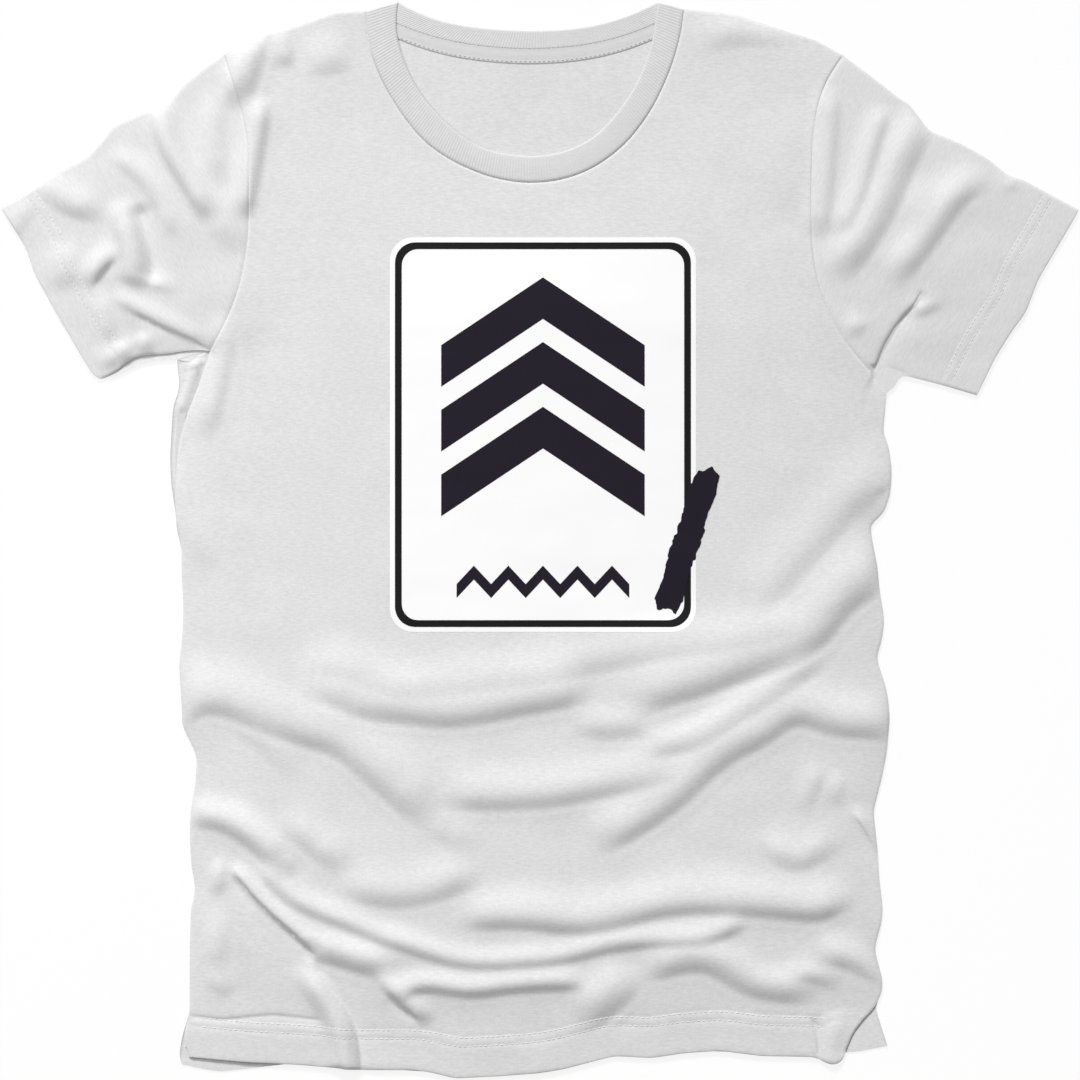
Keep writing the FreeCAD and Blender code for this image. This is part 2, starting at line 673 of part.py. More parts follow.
def make_brush_stroke():
    """A rough stroke of the brush that runs over the side of the border and the field."""
    right_edge = PRINT_X + size("print_width") / 2
    start = V(right_edge - size("stroke_in"), PRINT_LOW + size("stroke_up"), 0)
    way = V(0.3, 0.954, 0)
    left = V(-way.y, way.x, 0)
    points = [
        start + way * (share * size("stroke_length")) + left * (offset * size("stroke_width"))
        for share, offset in BRUSH_ONE_SIDE + BRUSH_OTHER_SIDE
    ]
    block = prism("BrushBlock", loop(points), "0", TALL)
    whole = common("BrushWhole", block, third_ink)
    rest = cut("BrushOffField", whole, doc.getObject("FieldInk"))
    piece(cut("Brush", rest, doc.getObject("BorderInk")), "print_brush_stroke")


def check_and_write():
    """Checks every object and piece, then writes one file for each piece."""
    for item in doc.Objects:
        if "Invalid" in item.State or "Error" in item.State:
            raise RuntimeError("%s failed: %s" % (item.Name, item.State))
    for node in nodes:
        if node.Shape.isNull() or not node.Shape.isValid():
            raise RuntimeError("%s has no valid shape" % node.Label)
    os.makedirs("parts", exist_ok=True)
    for node in nodes:
        node.Shape.exportStep("parts/%s.step" % node.Label)
        print("%s: %d solids, %.1f mm3" % (
            node.Label, len(node.Shape.Solids), node.Shape.Volume))


make_back()
make_front()
make_sleeve("right")
make_sleeve("left")
make_flat_seam("RightSide", "right_side", 1, "right_side_seam")
make_flat_seam("LeftSide", "left_side", 1, "left_side_seam")
make_flat_seam("RightShoulder", "right_shoulder", -1, "right_shoulder_seam")
make_flat_seam("LeftShoulder", "left_shoulder", -1, "left_shoulder_seam")
make_collar()
make_tape()
make_print_ground()
make_chevrons()
make_zigzag()
make_brush_stroke()
doc.recompute()
check_and_write()
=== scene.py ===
import bpy
import numpy as np
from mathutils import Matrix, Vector
from mathutils.geometry import delaunay_2d_cdt
from mathutils.kdtree import KDTree


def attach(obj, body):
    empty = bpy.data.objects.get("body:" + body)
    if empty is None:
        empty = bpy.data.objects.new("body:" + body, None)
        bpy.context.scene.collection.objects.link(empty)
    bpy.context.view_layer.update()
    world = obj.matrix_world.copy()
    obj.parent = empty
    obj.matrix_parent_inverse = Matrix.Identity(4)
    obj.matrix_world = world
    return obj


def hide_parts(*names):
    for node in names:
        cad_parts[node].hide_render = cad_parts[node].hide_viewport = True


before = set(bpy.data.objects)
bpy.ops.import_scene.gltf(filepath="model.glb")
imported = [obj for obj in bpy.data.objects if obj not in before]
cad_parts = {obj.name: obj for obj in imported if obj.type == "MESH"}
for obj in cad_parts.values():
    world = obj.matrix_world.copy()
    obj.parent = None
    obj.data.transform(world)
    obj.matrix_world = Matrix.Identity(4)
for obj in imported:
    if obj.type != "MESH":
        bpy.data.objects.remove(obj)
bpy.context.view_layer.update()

MM = 0.001

# Thickness of the cloth, the doubled rib and the tape, and what a rib or film stands proud
CLOTH = 0.6
RIB = 1.4
RIB_PROUD = 0.4
TAPE = 0.5
FILM = 0.12

# Heights at the edges, and how far from an edge the cloth rolls down to them
SEAM_LEVEL = 1.5
SEAM_LIP = 0.3
EDGE_TOP = 2.3
LEAST_TOP = 1.9
EDGE_ROLL = 1.5
SEAM_DIP = 0.8
UNDER_SEAM_DIP = 0.3
FREE_DIP = 0.25
SEAM_ROLL = 1.6
SLEEVE_ROLL = 3.0
UNDERARM_ROLL = 7.0

# The trapped air: its height inside and at a mouth, how softly it rises, and how much flatter
# the shoulders lie
AIR_GAP = 5.5
MOUTH_GAP = 0.7
EDGE_SOFTNESS = 30.0
MOUTH_SOFTNESS = 55.0
FLAT_FROM = 140.0
FLAT_OVER = 140.0
FLAT_SHARE = 0.62

# Turned hems and cuffs: their step, how far the stitches pull, and the rows from the edge
HEM_STEP = 0.25
STITCH_DIP = 0.22
HEM_ROWS = (20.4, 26.0)
CUFF_ROWS = (19.0, 24.5)
# The front's hem is turned up past this X
TURNED_UP = 181.0

# Spacing of the mesh over the open cloth, and of the points along its edges
SPACING = 2.6
UNDER_SPACING = 4.6
LOWER_SPACING = 6.0
FILM_SPACING = 2.7
EDGE_STEP = 2.0
SHARP = np.radians(55.0)

# The edges of the pattern as the shirt lies
EDGES = {
    "right_side": ((-236, 117.3), (-234.3, 98.8), (-238.6, 86.5), (-239.6, 70.2), (-240.5, 52.9),
        (-239.9, 36.7), (-237.3, 20.8), (-236, 5.9), (-233, -5.5), (-233, -22.8), (-231.7, -44),
        (-232.7, -65), (-234.7, -80.6), (-232.9, -109), (-232.7, -120.6), (-225, -136), (-223, -141.7),
        (-224, -158.6), (-227, -176), (-227.8, -189), (-226.9, -210), (-223.9, -227.5), (-226.9, -239),
        (-227.8, -267.5), (-227.8, -307.5), (-232.7, -322.9), (-234.8, -336), (-232.7, -341)),
    "left_side": ((226, -329), (217.8, -303.6), (222.3, -294.5), (223, -286.7), (217.4, -265.9),
        (222.3, -248), (223, -239), (220.7, -221.7), (219.7, -202.8), (216.8, -176), (222.3, -154.7),
        (225.6, -137.8), (227.5, -115), (225.6, -97.5), (218.7, -76.7), (222.3, -65.3), (224, -52),
        (220.7, -31.9), (219.4, -16.9), (217, -5.5), (214.5, 9.4), (224, 18), (228, 30.6),
        (228.8, 45.5), (226.9, 60.5), (223, 70), (224, 80), (225.5, 95.6)),
    "hem": ((-228, -336), (-208, -338), (-190.5, -339.5), (-158, -341), (-116, -344.5), (-82, -344.5),
        (-72, -345.8), (-55, -350), (-24.7, -348.4), (0, -346.5), (15.6, -343.9), (48, -335.4),
        (72.8, -336.7), (93.6, -333.5), (117, -332), (143.7, -335.4), (179.4, -336), (185, -340),
        (192, -341.5), (197, -338.5), (199, -331)),
    "back_hem": ((-232.7, -341), (-220, -344), (-208, -345.8), (-190.5, -343.9), (-158, -340),
        (-116, -343), (-55, -347), (0, -344.5), (48, -334), (93.6, -332), (143.7, -333.4),
        (179.4, -334), (206, -333), (226, -329)),
    "right_armhole": ((-205.4, 315.3), (-202, 305), (-196.6, 288.6), (-191, 268.5), (-188.5, 243.8),
        (-188.7, 216.7), (-189.8, 189.8), (-195.7, 160.7), (-205.4, 138.5), (-214.5, 122.9)),
    "left_armhole": ((197, 315), (186, 299.7), (180, 284), (176.8, 261), (175.5, 216.7), (176.8, 185),
        (181, 163), (190.5, 140.4), (201.5, 122.9), (212.6, 111.8), (221.7, 102.7), (225.5, 95.6)),
    "right_sleeve_top": ((-205.4, 315.3), (-216.7, 307.5), (-230, 297), (-239, 286), (-265.9, 273.7),
        (-277, 269), (-286, 257), (-295, 247.7), (-319.8, 236), (-326, 230), (-350.4, 215.8)),
    "right_cuff": ((-350.4, 215.8), (-334, 189.8), (-329, 174), (-313, 145), (-297.3, 118.3),
        (-290.6, 107), (-286, 104.7)),
    "right_underarm": ((-286, 104.7), (-275, 107), (-261, 113.8), (-254.8, 116), (-236, 117.3)),
    "right_sleeve_fold": ((-286, 104.7), (-281, 106.8), (-273.4, 111.1), (-268, 116), (-262.6, 118.9),
        (-257.2, 120), (-245.4, 120.8), (-236.8, 121.9), (-229, 123.2), (-221, 123.6),
        (-214.5, 122.9)),
    "left_sleeve_top": ((197, 315), (214.9, 301.6), (235, 286), (239.5, 284), (252.9, 265.9),
        (273, 258), (291, 248), (304, 236.9), (313, 234.7), (350.4, 214.5)),
    "left_cuff": ((350.4, 214.5), (340, 196.6), (324, 169.7), (315.6, 147.6), (306.8, 135.9),
        (295.8, 118.3), (284, 94)),
    "left_underarm": ((284, 94), (263.9, 100), (237, 107), (234, 107), (231.4, 100), (225.5, 95.6)),
    "right_shoulder": ((-205.4, 315.3), (-176.4, 330), (-158.6, 333.5), (-133.9, 342.6),
        (-113.6, 343.7)),
    "left_shoulder": ((93.6, 345), (125.5, 342), (156.7, 332), (179, 325), (197, 315)),
    "right_neck_fold": ((-113.6, 343.7), (-103, 347.5), (-92.3, 349.7)),
    "left_neck_fold": ((76.4, 349.7), (85, 348.5), (93.6, 345)),
    "neck_seam": ((-113.6, 343.7), (-111.4, 321), (-105.3, 302.9), (-93.6, 281.5), (-75.4, 258),
        (-55.3, 245), (-30.6, 234.9), (-7, 231.4), (15.9, 234), (35.8, 241.8), (57, 258), (74, 281.5),
        (85.8, 308), (92.3, 330.9), (93.6, 345)),
    "rib_edge": ((-92.3, 349.7), (-94.9, 341), (-93, 324), (-87, 306), (-77, 288), (-58.7, 268),
        (-37, 253), (-7, 248.5), (16, 251.5), (35.8, 261), (52.4, 279.5), (65.7, 301), (74, 326),
        (76.4, 349.7)),
    "back_rib_edge": ((-92.3, 349.7), (-80.3, 342.7), (-63.7, 336.9), (-39, 332.8), (-3.9, 330.9),
        (27.3, 332.8), (52.4, 338.7), (68.9, 346), (76.4, 349.7)),
    "back_neck_seam": ((-113.6, 343.7), (-94.3, 336), (-80, 329.6), (-55, 323), (-30.6, 319.8),
        (-3.9, 318.5), (27.3, 320.8), (52.4, 326.3), (74, 334.4), (93.6, 345)),
}
# The front's sides leave those of the back at the armpit and at the two lower corners
FRONT_ARMPIT = ((-214.5, 122.9), (-222.3, 100), (-230, 80.3), (-234.8, 63), (-236.6, 45.5),
    (-237.6, 30), (-236.6, 12))
FRONT_RIGHT_CORNER = ((-232, -322.9), (-228, -336))
FRONT_LEFT_CORNER = ((199, -331), (203.5, -320), (211, -310.5))
EDGES["right_front_side"] = FRONT_ARMPIT + EDGES["right_side"][8:-3] + FRONT_RIGHT_CORNER
EDGES["left_front_side"] = FRONT_LEFT_CORNER + EDGES["left_side"][1:]

# Softness of an edge's corners, in millimetres along it
SOFT_EDGE = 3.0
SOFT_CURVE = 10.0
CURVES = ("right_armhole", "left_armhole", "neck_seam", "rib_edge", "back_rib_edge",
          "back_neck_seam")

# Folds: height, half width of the steep flank and of the gentle one, whether it fades at its
# start and at its end, and the line of its steep flank. The high side is on the left.
FOLDS = (
    # Lower right quarter of the shirt, at the image's lower left
    (4, 8, 22, 0, 1, ((-233, -119), (-226, -111), (-218, -107.5), (-205, -109), (-193, -115),
     (-180, -120), (-168, -125), (-155.7, -130), (-138.5, -133), (-130, -137), (-121, -145),
     (-109, -156), (-94, -169), (-82, -180.5), (-70, -190))),
    (1.4, 7, 14, 1, 1, ((-84, -178), (-69, -191), (-55, -199), (-40, -208))),
    (1.4, 6, 12, 1, 1, ((-207, -122), (-192, -127), (-178, -137), (-168, -148), (-162, -160))),
    (4.2, 6, 11, 0, 1, ((-229, -183.5), (-215, -183.5), (-208, -185), (-200, -189), (-190, -195.5),
     (-180, -204), (-173, -213), (-166, -222))),
    (0.9, 3, 5, 1, 1, ((-169, -203), (-165, -212), (-164, -221))),
    (2.2, 6, 14, 1, 1, ((-176, -180), (-163, -190), (-153, -198), (-143, -206.5), (-134, -213),
     (-127, -221))),
    (2.4, 7, 16, 1, 1, ((-138, -222), (-126, -229), (-113, -234), (-97, -236), (-80, -235),
     (-66, -231), (-54, -227), (-41, -221), (-30, -215))),
    (2.8, 5, 9, 1, 1, ((-187, -209), (-183, -215), (-175.5, -225), (-168, -232.5), (-160, -238.5),
     (-150, -241.5), (-138.5, -247), (-126, -251), (-114, -257), (-101, -262), (-89, -265),
     (-79, -268.5), (-68, -273), (-54, -277), (-31, -278), (-11, -276.5), (17, -274), (37, -268),
     (52, -265), (70, -263), (90, -262), (109, -261.5), (123, -256), (138, -249))),
    (3.4, 4, 6, 1, 1, ((-204, -211), (-195, -222.5), (-188, -231), (-178, -241), (-168, -250),
     (-158, -257), (-151, -264), (-146, -268.5))),
    (4.6, 7, 9, 1, 1, ((-160, -256), (-152, -264), (-143, -270.5), (-130, -274), (-114, -278.5),
     (-101, -283), (-91, -286))),
    (2.6, 4.5, 6, 1, 1, ((-204, -232), (-206.5, -222), (-207, -213), (-203, -206))),
    (1.8, 6, 11, 1, 1, ((-210, -290), (-205, -275), (-203, -255), (-204, -235))),
    (1.4, 5, 10, 1, 1, ((-222, -282), (-212, -291), (-202, -300))),
    (5.4, 6, 9, 0, 1, ((-119, -344), (-120, -332), (-122, -320), (-125, -309), (-131, -299),
     (-138, -289), (-145, -278), (-150, -269))),
    (3.2, 5, 7, 1, 1, ((-110, -281), (-102, -290), (-96, -297), (-90, -303), (-80, -311),
     (-70, -317))),
    # Across the middle
    (3.8, 7.5, 20, 1, 1, ((-160, -102), (-145, -98.5), (-133, -104), (-122, -110.5), (-111, -114),
     (-98, -114), (-83, -116), (-69, -118), (-54, -118), (-40, -116), (-26, -113.5), (-12, -110),
     (3, -108), (17, -105), (31, -101.5), (42, -98))),
    (1.8, 7, 16, 1, 1, ((-158, -86), (-145, -83), (-132, -84), (-116, -90), (-101, -97), (-82, -99.5),
     (-54, -96.5), (-12, -92), (17, -86.5), (46, -82), (71, -76), (110, -70), (159, -60), (177, -56))),
    (1.8, 6, 12, 1, 1, ((14, -123), (31, -125.5), (46, -127), (58, -124), (70, -125), (82, -129))),
    (3, 7, 18, 1, 1, ((-72, -169), (-55, -171), (-40, -172.5), (-20, -171.5), (0, -171), (17, -168.5),
     (37, -165), (54, -161), (70, -157.5), (86, -152), (98, -146))),
    (3.6, 6.5, 17, 1, 1, ((-58, -250), (-35, -250), (-12, -249), (8, -252), (23, -254), (37, -252.5),
     (52, -249.5), (66, -245.5), (81, -241.5), (98, -239.5), (115, -240), (138, -241.5), (158, -242.5),
     (174, -245), (182, -246.5), (190, -242), (201, -235), (209, -229.5))),
    (3.2, 5, 9, 1, 1, ((-96, -301), (-91, -297), (-86, -293.5), (-77, -290.5), (-68, -291.5),
     (-55, -295), (-40, -295.5), (-23, -292.5), (-3, -291), (17, -290), (32, -291.5))),
    # Lower left quarter of the shirt, at the image's lower right
    (4.6, 9, 22, 1, 0, ((55, -119), (63, -111), (75, -105), (89, -101), (103, -98), (118, -92),
     (135, -86.5), (149, -82), (161, -78), (175, -69.5), (187, -62), (193, -49), (205, -38),
     (220, -30))),
    (2.6, 6, 10, 1, 1, ((60, -140), (80, -137.5), (92, -136.5), (104, -132), (115, -125),
     (127, -116.5), (141, -109), (152, -102), (166, -92), (178, -85), (190, -76))),
    (1.8, 8, 20, 1, 0, ((130, -58), (163, -27), (178, -10), (193, 6), (205, 21), (216, 28))),
    (3.8, 7.5, 18, 1, 0, ((32, -205), (46, -198), (60, -191), (75, -181), (86, -173.5), (98, -163.5),
     (106, -155), (115, -146.5), (126, -139), (138, -133.5), (149, -128), (160, -118), (168, -113),
     (176, -118), (187, -123.5), (201, -125), (215, -124.5), (226, -128))),
    (1.2, 5, 10, 1, 1, ((174, -182), (177, -166), (189, -144))),
    (1.2, 5, 9, 1, 1, ((196, -176), (195, -163), (199, -149))),
    (2, 3.5, 6, 1, 0, ((199, -175), (206, -184), (212, -192), (216, -200), (219.5, -208))),
    (1.8, 6, 12, 1, 1, ((137, -193), (146, -202), (155, -210.5), (166, -215), (175, -212), (183, -205),
     (192, -200), (203, -198))),
    (3.6, 9, 16, 1, 1, ((22, -320), (34, -314), (44, -306), (54, -297), (63, -288), (69, -277))),
    (3.6, 7, 12, 1, 1, ((60, -283), (70, -284), (78, -283), (89, -278), (101, -275.5), (114, -278.5),
     (123, -286), (132, -292), (143, -295.5), (158, -297), (172, -298.5), (184, -298))),
    (3.2, 6, 12, 1, 0, ((172, -274), (189, -272.5), (203, -276.5), (215, -284), (222, -288))),
    (1.8, 5, 9, 1, 1, ((158, -285), (172, -283.5), (184, -286.5), (193, -294))),
    (1.6, 6, 8, 0, 1, ((196, -342), (196, -330), (197, -318), (203, -307))),
    # Sides and chest
    (4.6, 5.4, 10, 1, 1, ((-189, 205), (-186.5, 219), (-184, 234), (-181, 250), (-178, 268),
     (-176, 290))),
    (6, 8, 9, 1, 0, ((-193, 276), (-190, 290), (-186, 304), (-181, 318), (-179, 330))),
    (3, 6, 12, 1, 1, ((-214, 62), (-209, 83), (-205, 100), (-202, 117), (-200, 134), (-198, 148))),
    (1.8, 7, 16, 1, 1, ((-204, -20), (-211, -6), (-220, 6), (-224, 18), (-229, 43), (-229, 65))),
    (1, 8, 18, 1, 1, ((-184, 111), (-181, 132), (-183, 161), (-188, 190))),
    (2, 7, 16, 1, 1, ((-157, 302), (-136, 306), (-116, 309))),
    (2.4, 4.5, 9, 1, 0, ((-161, 306), (-161.5, 318), (-163, 329))),
    (2, 8, 18, 1, 1, ((96, 315), (116, 322), (135, 326), (157, 324), (174, 320))),
    (1, 9, 22, 1, 1, ((172, 200), (170, 260), (172, 290))),
    # Right sleeve, at the image's left
    (6, 5.5, 10, 0, 1, ((-252.5, 279), (-251, 268), (-248, 257), (-243, 247), (-237, 238), (-230, 228),
     (-224, 217), (-219, 205))),
    (2.2, 7, 12, 1, 1, ((-226, 232), (-221, 218), (-214, 204), (-206, 192), (-198, 180))),
    (2.2, 5, 9, 1, 1, ((-285, 250), (-272, 243), (-261, 234), (-252, 222), (-246, 208), (-243, 193))),
    (6.5, 6, 9, 1, 1, ((-258, 158), (-256, 168), (-256, 180), (-259, 192), (-262, 203), (-265, 213),
     (-270, 226))),
    (3.8, 5, 8, 1, 1, ((-291, 161), (-288, 169), (-282, 177.5), (-275.5, 184.5), (-270, 189))),
    (2.2, 4, 7, 1, 1, ((-281, 158), (-270, 151), (-262, 147), (-252, 142), (-243, 137), (-233, 132),
     (-224, 127), (-217, 123))),
    (1.3, 4, 8, 1, 1, ((-281, 173), (-270, 169), (-258, 167), (-246, 163), (-236, 157))),
    (1.6, 4.5, 7, 1, 1, ((-274, 126), (-277, 140), (-280, 152), (-282, 165))),
    (2.4, 4, 9, 1, 1, ((-288, 109), (-279, 112), (-271, 117), (-264, 121))),
    (3.2, 4, 6, 0, 1, ((-263, 117), (-265.5, 124), (-269, 132))),
    (3, 4.5, 7, 0, 1, ((-251, 119), (-252, 129), (-254, 137))),
    (3, 6, 12, 0, 1, ((-326, 229), (-317, 219), (-308, 213), (-297, 209.5), (-279, 208))),
    (1.8, 6, 9, 0, 1, ((-341, 196), (-336, 205), (-330, 214), (-325, 222))),
    (2.2, 8, 13, 1, 1, ((-298, 163), (-301, 174), (-302, 184), (-300, 195))),
    (2.2, 6, 10, 1, 1, ((-203, 225), (-205, 245), (-206, 262), (-207, 280), (-205, 296))),
    # Left sleeve, at the image's right
    (2.4, 5.5, 11, 1, 1, ((185, 193), (188.5, 215), (190, 235), (192, 258), (193.5, 277), (193, 297))),
    (2.8, 5, 9, 1, 1, ((196, 194), (204, 209), (212, 227), (216, 241), (220, 258), (225, 271),
     (229, 283))),
    (4, 8, 11, 1, 0, ((191, 162), (199, 171), (209, 184), (220, 200), (228, 215), (235, 230),
     (241, 246), (247, 258), (253, 267))),
    (3.4, 6.5, 12, 1, 1, ((228, 160), (237, 171), (246, 181), (254, 192), (262, 204), (270, 216),
     (278, 225), (287, 230), (298, 232))),
    (1.6, 4, 8, 1, 1, ((299, 226), (307, 228), (316, 232.5))),
    (1.4, 6, 10, 1, 1, ((243, 196), (250, 211), (256, 226), (262, 240))),
    (2, 4, 8, 1, 1, ((238, 143), (247, 146), (256, 149.5), (264, 154))),
    (1.4, 5, 8, 1, 1, ((199, 130), (208, 134), (215, 142))),
)

FOLD_GAIN = 1.45
MOST_FOLD = 10.0
SOFT_FOLD = 9.0
FOLD_SOFTNESS = 6.0
FADE_SHARE = 3.4
# Folds with a steep flank wider than this are drawn wider still
BROAD = 5.5
WIDER = 1.25

# A fold's profile, in shares of its half widths: where the steep flank starts and how far it
# climbs, where the gentle back starts and how far it falls, and the lip at its foot
FLANK_START = 0.6
FLANK_REACH = 1.5
FLANK_POWER = 1.35
BACK_START = 0.9
BACK_REACH = 0.8
LIP_SHARE = 0.1
LIP_AWAY = 2.4
LIP_WIDTH = 2.0

# Creases: depth, half width on the left and on the right, the fades and the line. The narrow
# side is the wall that lies in shade.
CREASES = (
    (2.8, 0.9, 8, 0, 1, ((217.5, 110), (220.7, 118.6), (224.1, 126.8), (228.2, 133.7), (232.2, 140.1),
     (237.5, 146.5), (242.7, 151.7), (245.6, 155.7), (248.5, 164))),
    (1.4, 1, 3, 0, 0, ((218.9, 112.3), (223, 109.5), (227, 107), (233, 101))),
    (1.2, 0.9, 3, 0, 0, ((220, 112.8), (227.1, 111.4), (232.8, 109.4), (237, 107))),
    (1.6, 1, 5, 1, 1, ((-199.7, -215), (-187.4, -230.2), (-175, -242.5), (-166.1, -250.4),
     (-157.1, -258.2), (-151.5, -265), (-144, -271))),
    (1.6, 1.2, 4, 1, 1, ((-98.5, -293), (-95.4, -297.5), (-92.1, -301), (-87.6, -305.6),
     (-78, -312.5))),
    (1, 0.9, 3, 1, 1, ((-290.6, 161), (-287.4, 169), (-282, 175.8), (-276.6, 181.2))),
    (1.2, 0.9, 4, 1, 0, ((-264.8, 147.9), (-254, 142.4), (-243.2, 137), (-232.4, 132.7),
     (-223.8, 128.9), (-214, 122))),
    (1, 0.9, 4, 1, 0, ((201, -176), (208, -185), (214, -195), (220, -208))),
    (2, 0.9, 3, 0, 1, ((181.5, -340), (181, -330), (180, -320), (177.5, -313), (174.5, -308))),
    (1.8, 2.5, 4, 0, 1, ((-116, -343), (-117, -332), (-119, -320), (-122, -310), (-128, -301),
     (-136, -291), (-143, -280), (-148, -272))),
    (0.8, 0.9, 3, 0, 1, ((-228, -309.5), (-207, -312), (-190, -310), (-174, -308.5), (-155, -310.5),
     (-138, -312))),
    (3.2, 10, 5, 1, 1, ((-252, 164), (-250, 174), (-251, 188), (-255, 203), (-261, 220))),
)
CREASE_SOFT = 3.0
CREASE_FADE = 10.0

# Ridges of the cloth of the back that shows beside the right armpit
BACK_FOLDS = (
    (2.8, 2.5, 5, 1, 1, ((-233, 79), (-226.5, 96), (-222.5, 108), (-218, 120))),
    (1.2, 2.5, 4, 1, 1, ((-237, 86), (-234, 97), (-232, 108), (-235, 116))),
    (1.2, 2, 4, 1, 1, ((-235, 113), (-230, 109.5), (-225, 110.5), (-220, 116))),
)

# Small waves all over the cloth, stronger low down and on the sleeves
CALM = 0.07
LIVELY = 0.12
FINE_SHARE = 0.12
WAVE_STRETCH = (1.6, 1.8)
LOW_FROM, LOW_OVER = 60, 300
SLEEVES_FROM, SLEEVES_OVER = 170, 60

# The neck rib and its tape
RIB_WIDTH = 18.0
BACK_RIB_WIDTH = 13.0
RIB_ROLL = 0.9
RIB_PITCH = 2.0
RIB_RELIEF = 0.16
RIB_CROWN = 0.35
PER_RIB = 6
TAPE_WIDTH = 10.2
TAPE_CROWN = 0.25

# Stitches: length, pitch and thickness
HEM_STITCH = (2.7, 3.4, 0.45)
CUFF_STITCH = (2.5, 3.2, 0.5)
NECK_STITCH = (1.6, 3.0, 0.45)
NECK_ROWS = (0.2, 8.9)

# Overlocked allowances, from the closed edge
ALLOWANCE_NEAR = 3.0
ALLOWANCE_FAR = 8.5

# The print
PRINT_X = 1.9
PRINT_Y = 68.4
PRINT_WIDE = 198.4
PRINT_HIGH = 256.0
PRINT_CORNER = 15.0
BORDER_IN = 3.2
BORDER_LINE = 4.4
CHEVRON_TOP = 26.0
CHEVRON_HALF = 66.0
CHEVRON_RISE = 44.0
CHEVRON_BAR = 27.0
CHEVRON_GAP = 15.0
ZIGZAG_LOW = 22.0
ZIGZAG_WIDE = 112.0
ZIGZAG_TURNS = 10
ZIGZAG_RISE = 12
ZIGZAG_BAR = 9

# The brush stroke: length and width, its direction, and its sides as shares of the two
BRUSH_LONG = 96
BRUSH_WIDE = 17
BRUSH_WAY = np.array([0.3, 0.954])
BRUSH_LEFT = np.array([-0.954, 0.3])
BRUSH_OUTLINE = (
    (-0.01, 0.3), (0.05, 0.52), (0.2, 0.44), (0.4, 0.55), (0.62, 0.46), (0.83, 0.56),
    (0.97, 0.4), (1.01, -0.1), (0.98, -0.44), (0.84, -0.52), (0.7, -0.44), (0.5, -0.54),
    (0.3, -0.45), (0.1, -0.54), (0.0, -0.42), (0.02, -0.1),
)

# Colours
CLOTH_COLOR = (0.735, 0.735, 0.735)
RIGHT_TURN = np.radians(60.0)
LEFT_TURN = np.radians(-60.0)
KNIT = 0.0009
STREAK_SCALE = (240, 900, 400)

# Light. Each lamp's name, kind, size, energy and place; it shines at the middle of the shirt.
# A sun's size is in degrees and only its direction counts.
WORLD_LIGHT = 0.32
LAMPS = (
    ("key", "SUN", 14.0, 2.7, (-0.6, 3.2, 2.3)),
    ("fill", "AREA", 0.5, 3.0, (-0.6, 0.25, 1.0)),
)
CAMERA_HEIGHT = 2.5
VIEW_WIDE = 0.702
SENSOR = 36.0


def lengths(line):
    """How far along a line each of its points is."""
    return np.r_[0, np.cumsum(np.hypot(*np.diff(line, axis=0).T))]


def evenly(line, count):
    """A number of even points along a line."""
    length = lengths(line)
    at = np.linspace(0, length[-1], count)
    return np.column_stack([np.interp(at, length, line[:, i]) for i in (0, 1)])


def resampled(line, step):
    """Points along a line, evenly spaced and about a step apart."""
    return evenly(line, max(2, int(round(lengths(line)[-1] / step)) + 1))


def bell(reach, width):
    """The weights of a blur, which add up to 1."""
    weights = np.exp(-0.5 * (np.arange(-reach, reach + 1) / width) ** 2)
    return weights / weights.sum()


def smooth(points, soft, step=EDGE_STEP):
    """A line through points with its corners rounded, which keeps its two ends."""
    line = resampled(np.array(points, float), 1.0)
    reach = min(int(3 * soft), len(line) - 1)
    before = 2 * line[0] - line[reach:0:-1]
    after = 2 * line[-1] - line[-2:-reach - 2:-1]
    padded = np.vstack([before, line, after])
    weights = bell(reach, soft)
    rounded = np.column_stack([np.convolve(padded[:, i], weights, "valid") for i in (0, 1)])
    return resampled(rounded, step)


def leftward(line):
    """Each point's way along a line, turned to the left."""
    way = np.gradient(line, axis=0)
    way /= np.maximum(np.hypot(*way.T), 1e-9)[:, None]
    return np.column_stack([-way[:, 1], way[:, 0]])


def inset_line(line, distance, side, step=EDGE_STEP):
    """A line moved sideways."""
    return smooth(line + leftward(line) * distance * side, 4.0, step)


E = {
    name: smooth(points, SOFT_CURVE if name in CURVES else SOFT_EDGE)
    for name, points in EDGES.items()
}


def closest(points, others):
    """For each point, which of the others is nearest to it and how far away that is."""
    tree = KDTree(len(others))
    for i, (x, y) in enumerate(others.tolist()):
        tree.insert((x, y, 0), i)
    tree.balance()
    found = [tree.find((x, y, 0)) for x, y in points.tolist()]
    return np.array([f[1] for f in found], int), np.array([f[2] for f in found], float)


def nearest(points, *lines):
    """Distance of points from lines, their side (left is positive) and share along them."""
    line = np.vstack(lines)
    counts = [len(part) for part in lines]
    last = np.repeat(np.cumsum(counts) - 2, counts)
    first = np.repeat(np.cumsum([0] + counts[:-1]), counts)
    vertex, _ = closest(points, line)
    best = np.full(len(points), np.inf)
    side = np.ones(len(points))
    share = np.zeros(len(points))
    for k in (np.maximum(vertex - 1, first[vertex]), np.minimum(vertex, last[vertex])):
        start, way = line[k], line[k + 1] - line[k]
        relative = points - start
        t = (relative * way).sum(1) / np.maximum((way ** 2).sum(1), 1e-12)
        t = np.clip(t, 0, 1)
        distance = np.hypot(*(relative - t[:, None] * way).T)
        cross = way[:, 0] * relative[:, 1] - way[:, 1] * relative[:, 0]
        closer = distance < best
        best = np.where(closer, distance, best)
        side = np.where(closer, np.where(cross >= 0, 1.0, -1.0), side)
        share = np.where(closer, (k + t) / (len(line) - 1), share)
    return best, side, share


def distance_to(points, *lines):
    """Distance of points from the nearest of several lines."""
    return nearest(points, *lines)[0]


